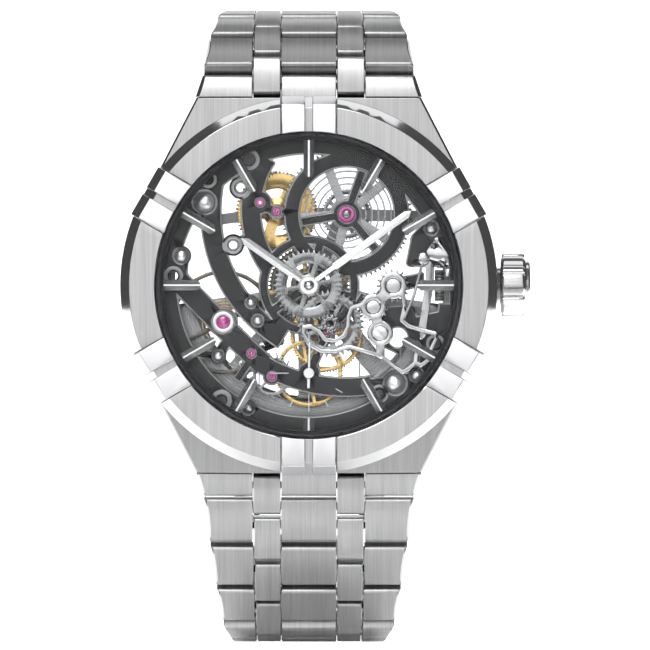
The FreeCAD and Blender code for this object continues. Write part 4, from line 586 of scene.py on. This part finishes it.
class WATCH_OT_stage(bpy.types.Operator):
    """Floor that sweeps up into a backdrop, studio lights and the camera"""
    bl_idname = "watch.stage"
    bl_label = "Stage"

    FRONT_EDGE, BEND_START, BEND, BEND_STEPS, WALL_TOP, HALF_WIDTH = -2.6, 1.3, 0.7, 12, 2.4, 3.0
    FLOOR_DROP, CARD_DROP = 1.5 * MM, 1.0 * MM      # below the watch's lowest point
    CARD_SIDE, CARD_FRONT, CARD_BACK, CARD_TOP = 0.3, -0.25, 0.5, 0.5
    GROUND_FRONT, GROUND_BACK = -0.6, -0.09
    SENSOR = 36.0

    def sweep(self, floor_level):
        """Profile of the floor and backdrop as (y, z) pairs."""
        profile = [(self.FRONT_EDGE, floor_level), (self.BEND_START, floor_level)]
        for step in range(1, self.BEND_STEPS + 1):
            turn = math.radians(90 * step / self.BEND_STEPS)
            profile.append((self.BEND_START + self.BEND * math.sin(turn),
                            floor_level + self.BEND * (1 - math.cos(turn))))
        profile.append((self.BEND_START + self.BEND, self.WALL_TOP))
        return profile

    def light(self, name, place, aim, width, height, power):
        data = bpy.data.lights.new(name, "AREA")
        data.shape = "RECTANGLE"
        data.size, data.size_y = width, height
        data.energy = power
        lamp = bpy.data.objects.new(name, data)
        lamp.location = place
        lamp.rotation_euler = (Vector(aim) - Vector(place)).to_track_quat("-Z", "Y").to_euler()
        lamp.visible_camera = False
        bpy.context.scene.collection.objects.link(lamp)
        return lamp

    def card(self, name, corners, finish):
        """A card that only reflections see."""
        data = bpy.data.meshes.new(name)
        data.from_pydata(corners, [], [(0, 1, 2, 3)])
        data.materials.append(finish.material)
        card = bpy.data.objects.new(name, data)
        card.visible_camera = card.visible_diffuse = card.visible_shadow = card.visible_transmission = False
        bpy.context.scene.collection.objects.link(card)

    def execute(self, context):
        stage = context.scene.watch_stage
        low, high = CASE_BOX
        mesh = bmesh.new()
        rows = []
        for y, z in self.sweep(low[2] - self.FLOOR_DROP):
            rows.append([mesh.verts.new((x, y, z)) for x in (-self.HALF_WIDTH, self.HALF_WIDTH)])
        for (a, b), (c, d) in zip(rows, rows[1:]):
            mesh.faces.new((a, b, d, c)).smooth = True
        data = bpy.data.meshes.new("studio_sweep")
        mesh.to_mesh(data)
        mesh.free()
        sweep = bpy.data.objects.new("studio_sweep", data)
        context.scene.collection.objects.link(sweep)
        paper = Finish("studio_paper", Roughness=0.85)
        fibre = paper.noise(paper.coordinate("Object"), (60.0,) * 3, detail=4.0)
        paper.set(Base_Color=paper.blend(fibre, (0.9, 0.9, 0.9, 1.0), (0.93, 0.93, 0.93, 1.0)))
        data.materials.append(paper.material)

        flock = Finish("dark_flock", Roughness=0.9)
        nap = flock.noise(flock.coordinate("Object"), (90.0,) * 3, detail=4.0)
        flock.set(Base_Color=flock.blend(nap, (0.03, 0.03, 0.03, 1.0), (0.05, 0.05, 0.05, 1.0)))
        ground = low[2] - self.CARD_DROP
        front, back, top = self.CARD_FRONT, self.CARD_BACK, self.CARD_TOP
        for name, x in (("dark_side_left", -self.CARD_SIDE), ("dark_side_right", self.CARD_SIDE)):
            self.card(name, [(x, front, ground), (x, back, ground), (x, back, top), (x, front, top)], flock)
        left, right = -self.CARD_SIDE, self.CARD_SIDE
        near, far = self.GROUND_FRONT, self.GROUND_BACK
        self.card("dark_ground", [(left, near, ground), (right, near, ground), (right, far, ground),
                                  (left, far, ground)], flock)

        world = bpy.data.worlds.new("studio_air")
        world.use_nodes = True
        air = world.node_tree.nodes["Background"]
        air.inputs["Color"].default_value = (0.72, 0.73, 0.75, 1.0)
        air.inputs["Strength"].default_value = 0.2
        context.scene.world = world
        self.light("key", (-0.12, -0.75, 0.7), (0, 0, 0), 0.7, 0.35, stage.key)
        self.light("front", (-0.25, -1.5, 0.1), (0, 0, 0), 1.6, 1.4, stage.front)
        self.light("top", (0, 0.12, 0.8), (0, 0, 0), 0.9, 0.3, stage.top)
        self.light("inside_bracelet", (0, 0.004, -0.002), (0, 0.03, -0.002), 0.03, 0.03, stage.inside)
        self.light("side_left", (-0.62, -0.45, 0.05), (0, 0, 0), 0.14, 0.8, stage.side)
        self.light("side_right", (0.62, -0.4, 0.15), (0, 0, 0), 0.12, 0.7, stage.side)
        for name, place, aim, depth in (("backdrop", (0, 0.9, 1.6), (0, 1.9, 0.1), 0.8),
                                        ("floor", (0, 0.62, 0.85), (0, 0.62, 0), 1.2)):
            self.light(name, place, aim, 2.2, depth, stage.back).visible_glossy = False

        lens = bpy.data.cameras.new("camera")
        lens.sensor_width = self.SENSOR
        lens.lens = self.SENSOR * (stage.distance + low[1]) / stage.view_width
        lens.clip_start, lens.clip_end = 0.05, 12.0
        camera = bpy.data.objects.new("camera", lens)
        camera.location = (stage.view_centre[0], -stage.distance, stage.view_centre[1])
        camera.rotation_euler = (math.radians(90), 0, 0)
        context.scene.collection.objects.link(camera)
        context.scene.camera = camera
        context.scene.view_settings.view_transform = "Standard"
        return {"FINISHED"}


class WATCH_PT_panel(bpy.types.Panel):
    """Watch finishing in the sidebar"""
    bl_idname = "WATCH_PT_panel"
    bl_label = "Skeleton wristwatch"
    bl_space_type = "VIEW_3D"
    bl_region_type = "UI"
    bl_category = "Watch"

    def draw(self, context):
        for group in (context.scene.watch_finishes, context.scene.watch_stage):
            box = self.layout.box()
            for name in group.__annotations__:
                box.prop(group, name)
        for operator in OPERATORS:
            self.layout.operator(operator.bl_idname)


OPERATORS = (WATCH_OT_case, WATCH_OT_crown, WATCH_OT_bracelet, WATCH_OT_clasp, WATCH_OT_crystals,
             WATCH_OT_plates, WATCH_OT_wheels, WATCH_OT_escapement, WATCH_OT_keyless_works,
             WATCH_OT_jewels_and_screws, WATCH_OT_hands_and_markers, WATCH_OT_seconds_track, WATCH_OT_stage)
CLASSES = (WatchFinishes, WatchStage, *OPERATORS, WATCH_PT_panel)


def register():
    for item in CLASSES:
        bpy.utils.register_class(item)
    bpy.types.Scene.watch_finishes = bpy.props.PointerProperty(type=WatchFinishes)
    bpy.types.Scene.watch_stage = bpy.props.PointerProperty(type=WatchStage)


def unregister():
    del bpy.types.Scene.watch_stage
    del bpy.types.Scene.watch_finishes
    for item in reversed(CLASSES):
        bpy.utils.unregister_class(item)


def main():
    register()
    for operator in OPERATORS:
        group, name = operator.bl_idname.split(".")
        getattr(getattr(bpy.ops, group), name)()


if __name__ == "__main__":
    main()
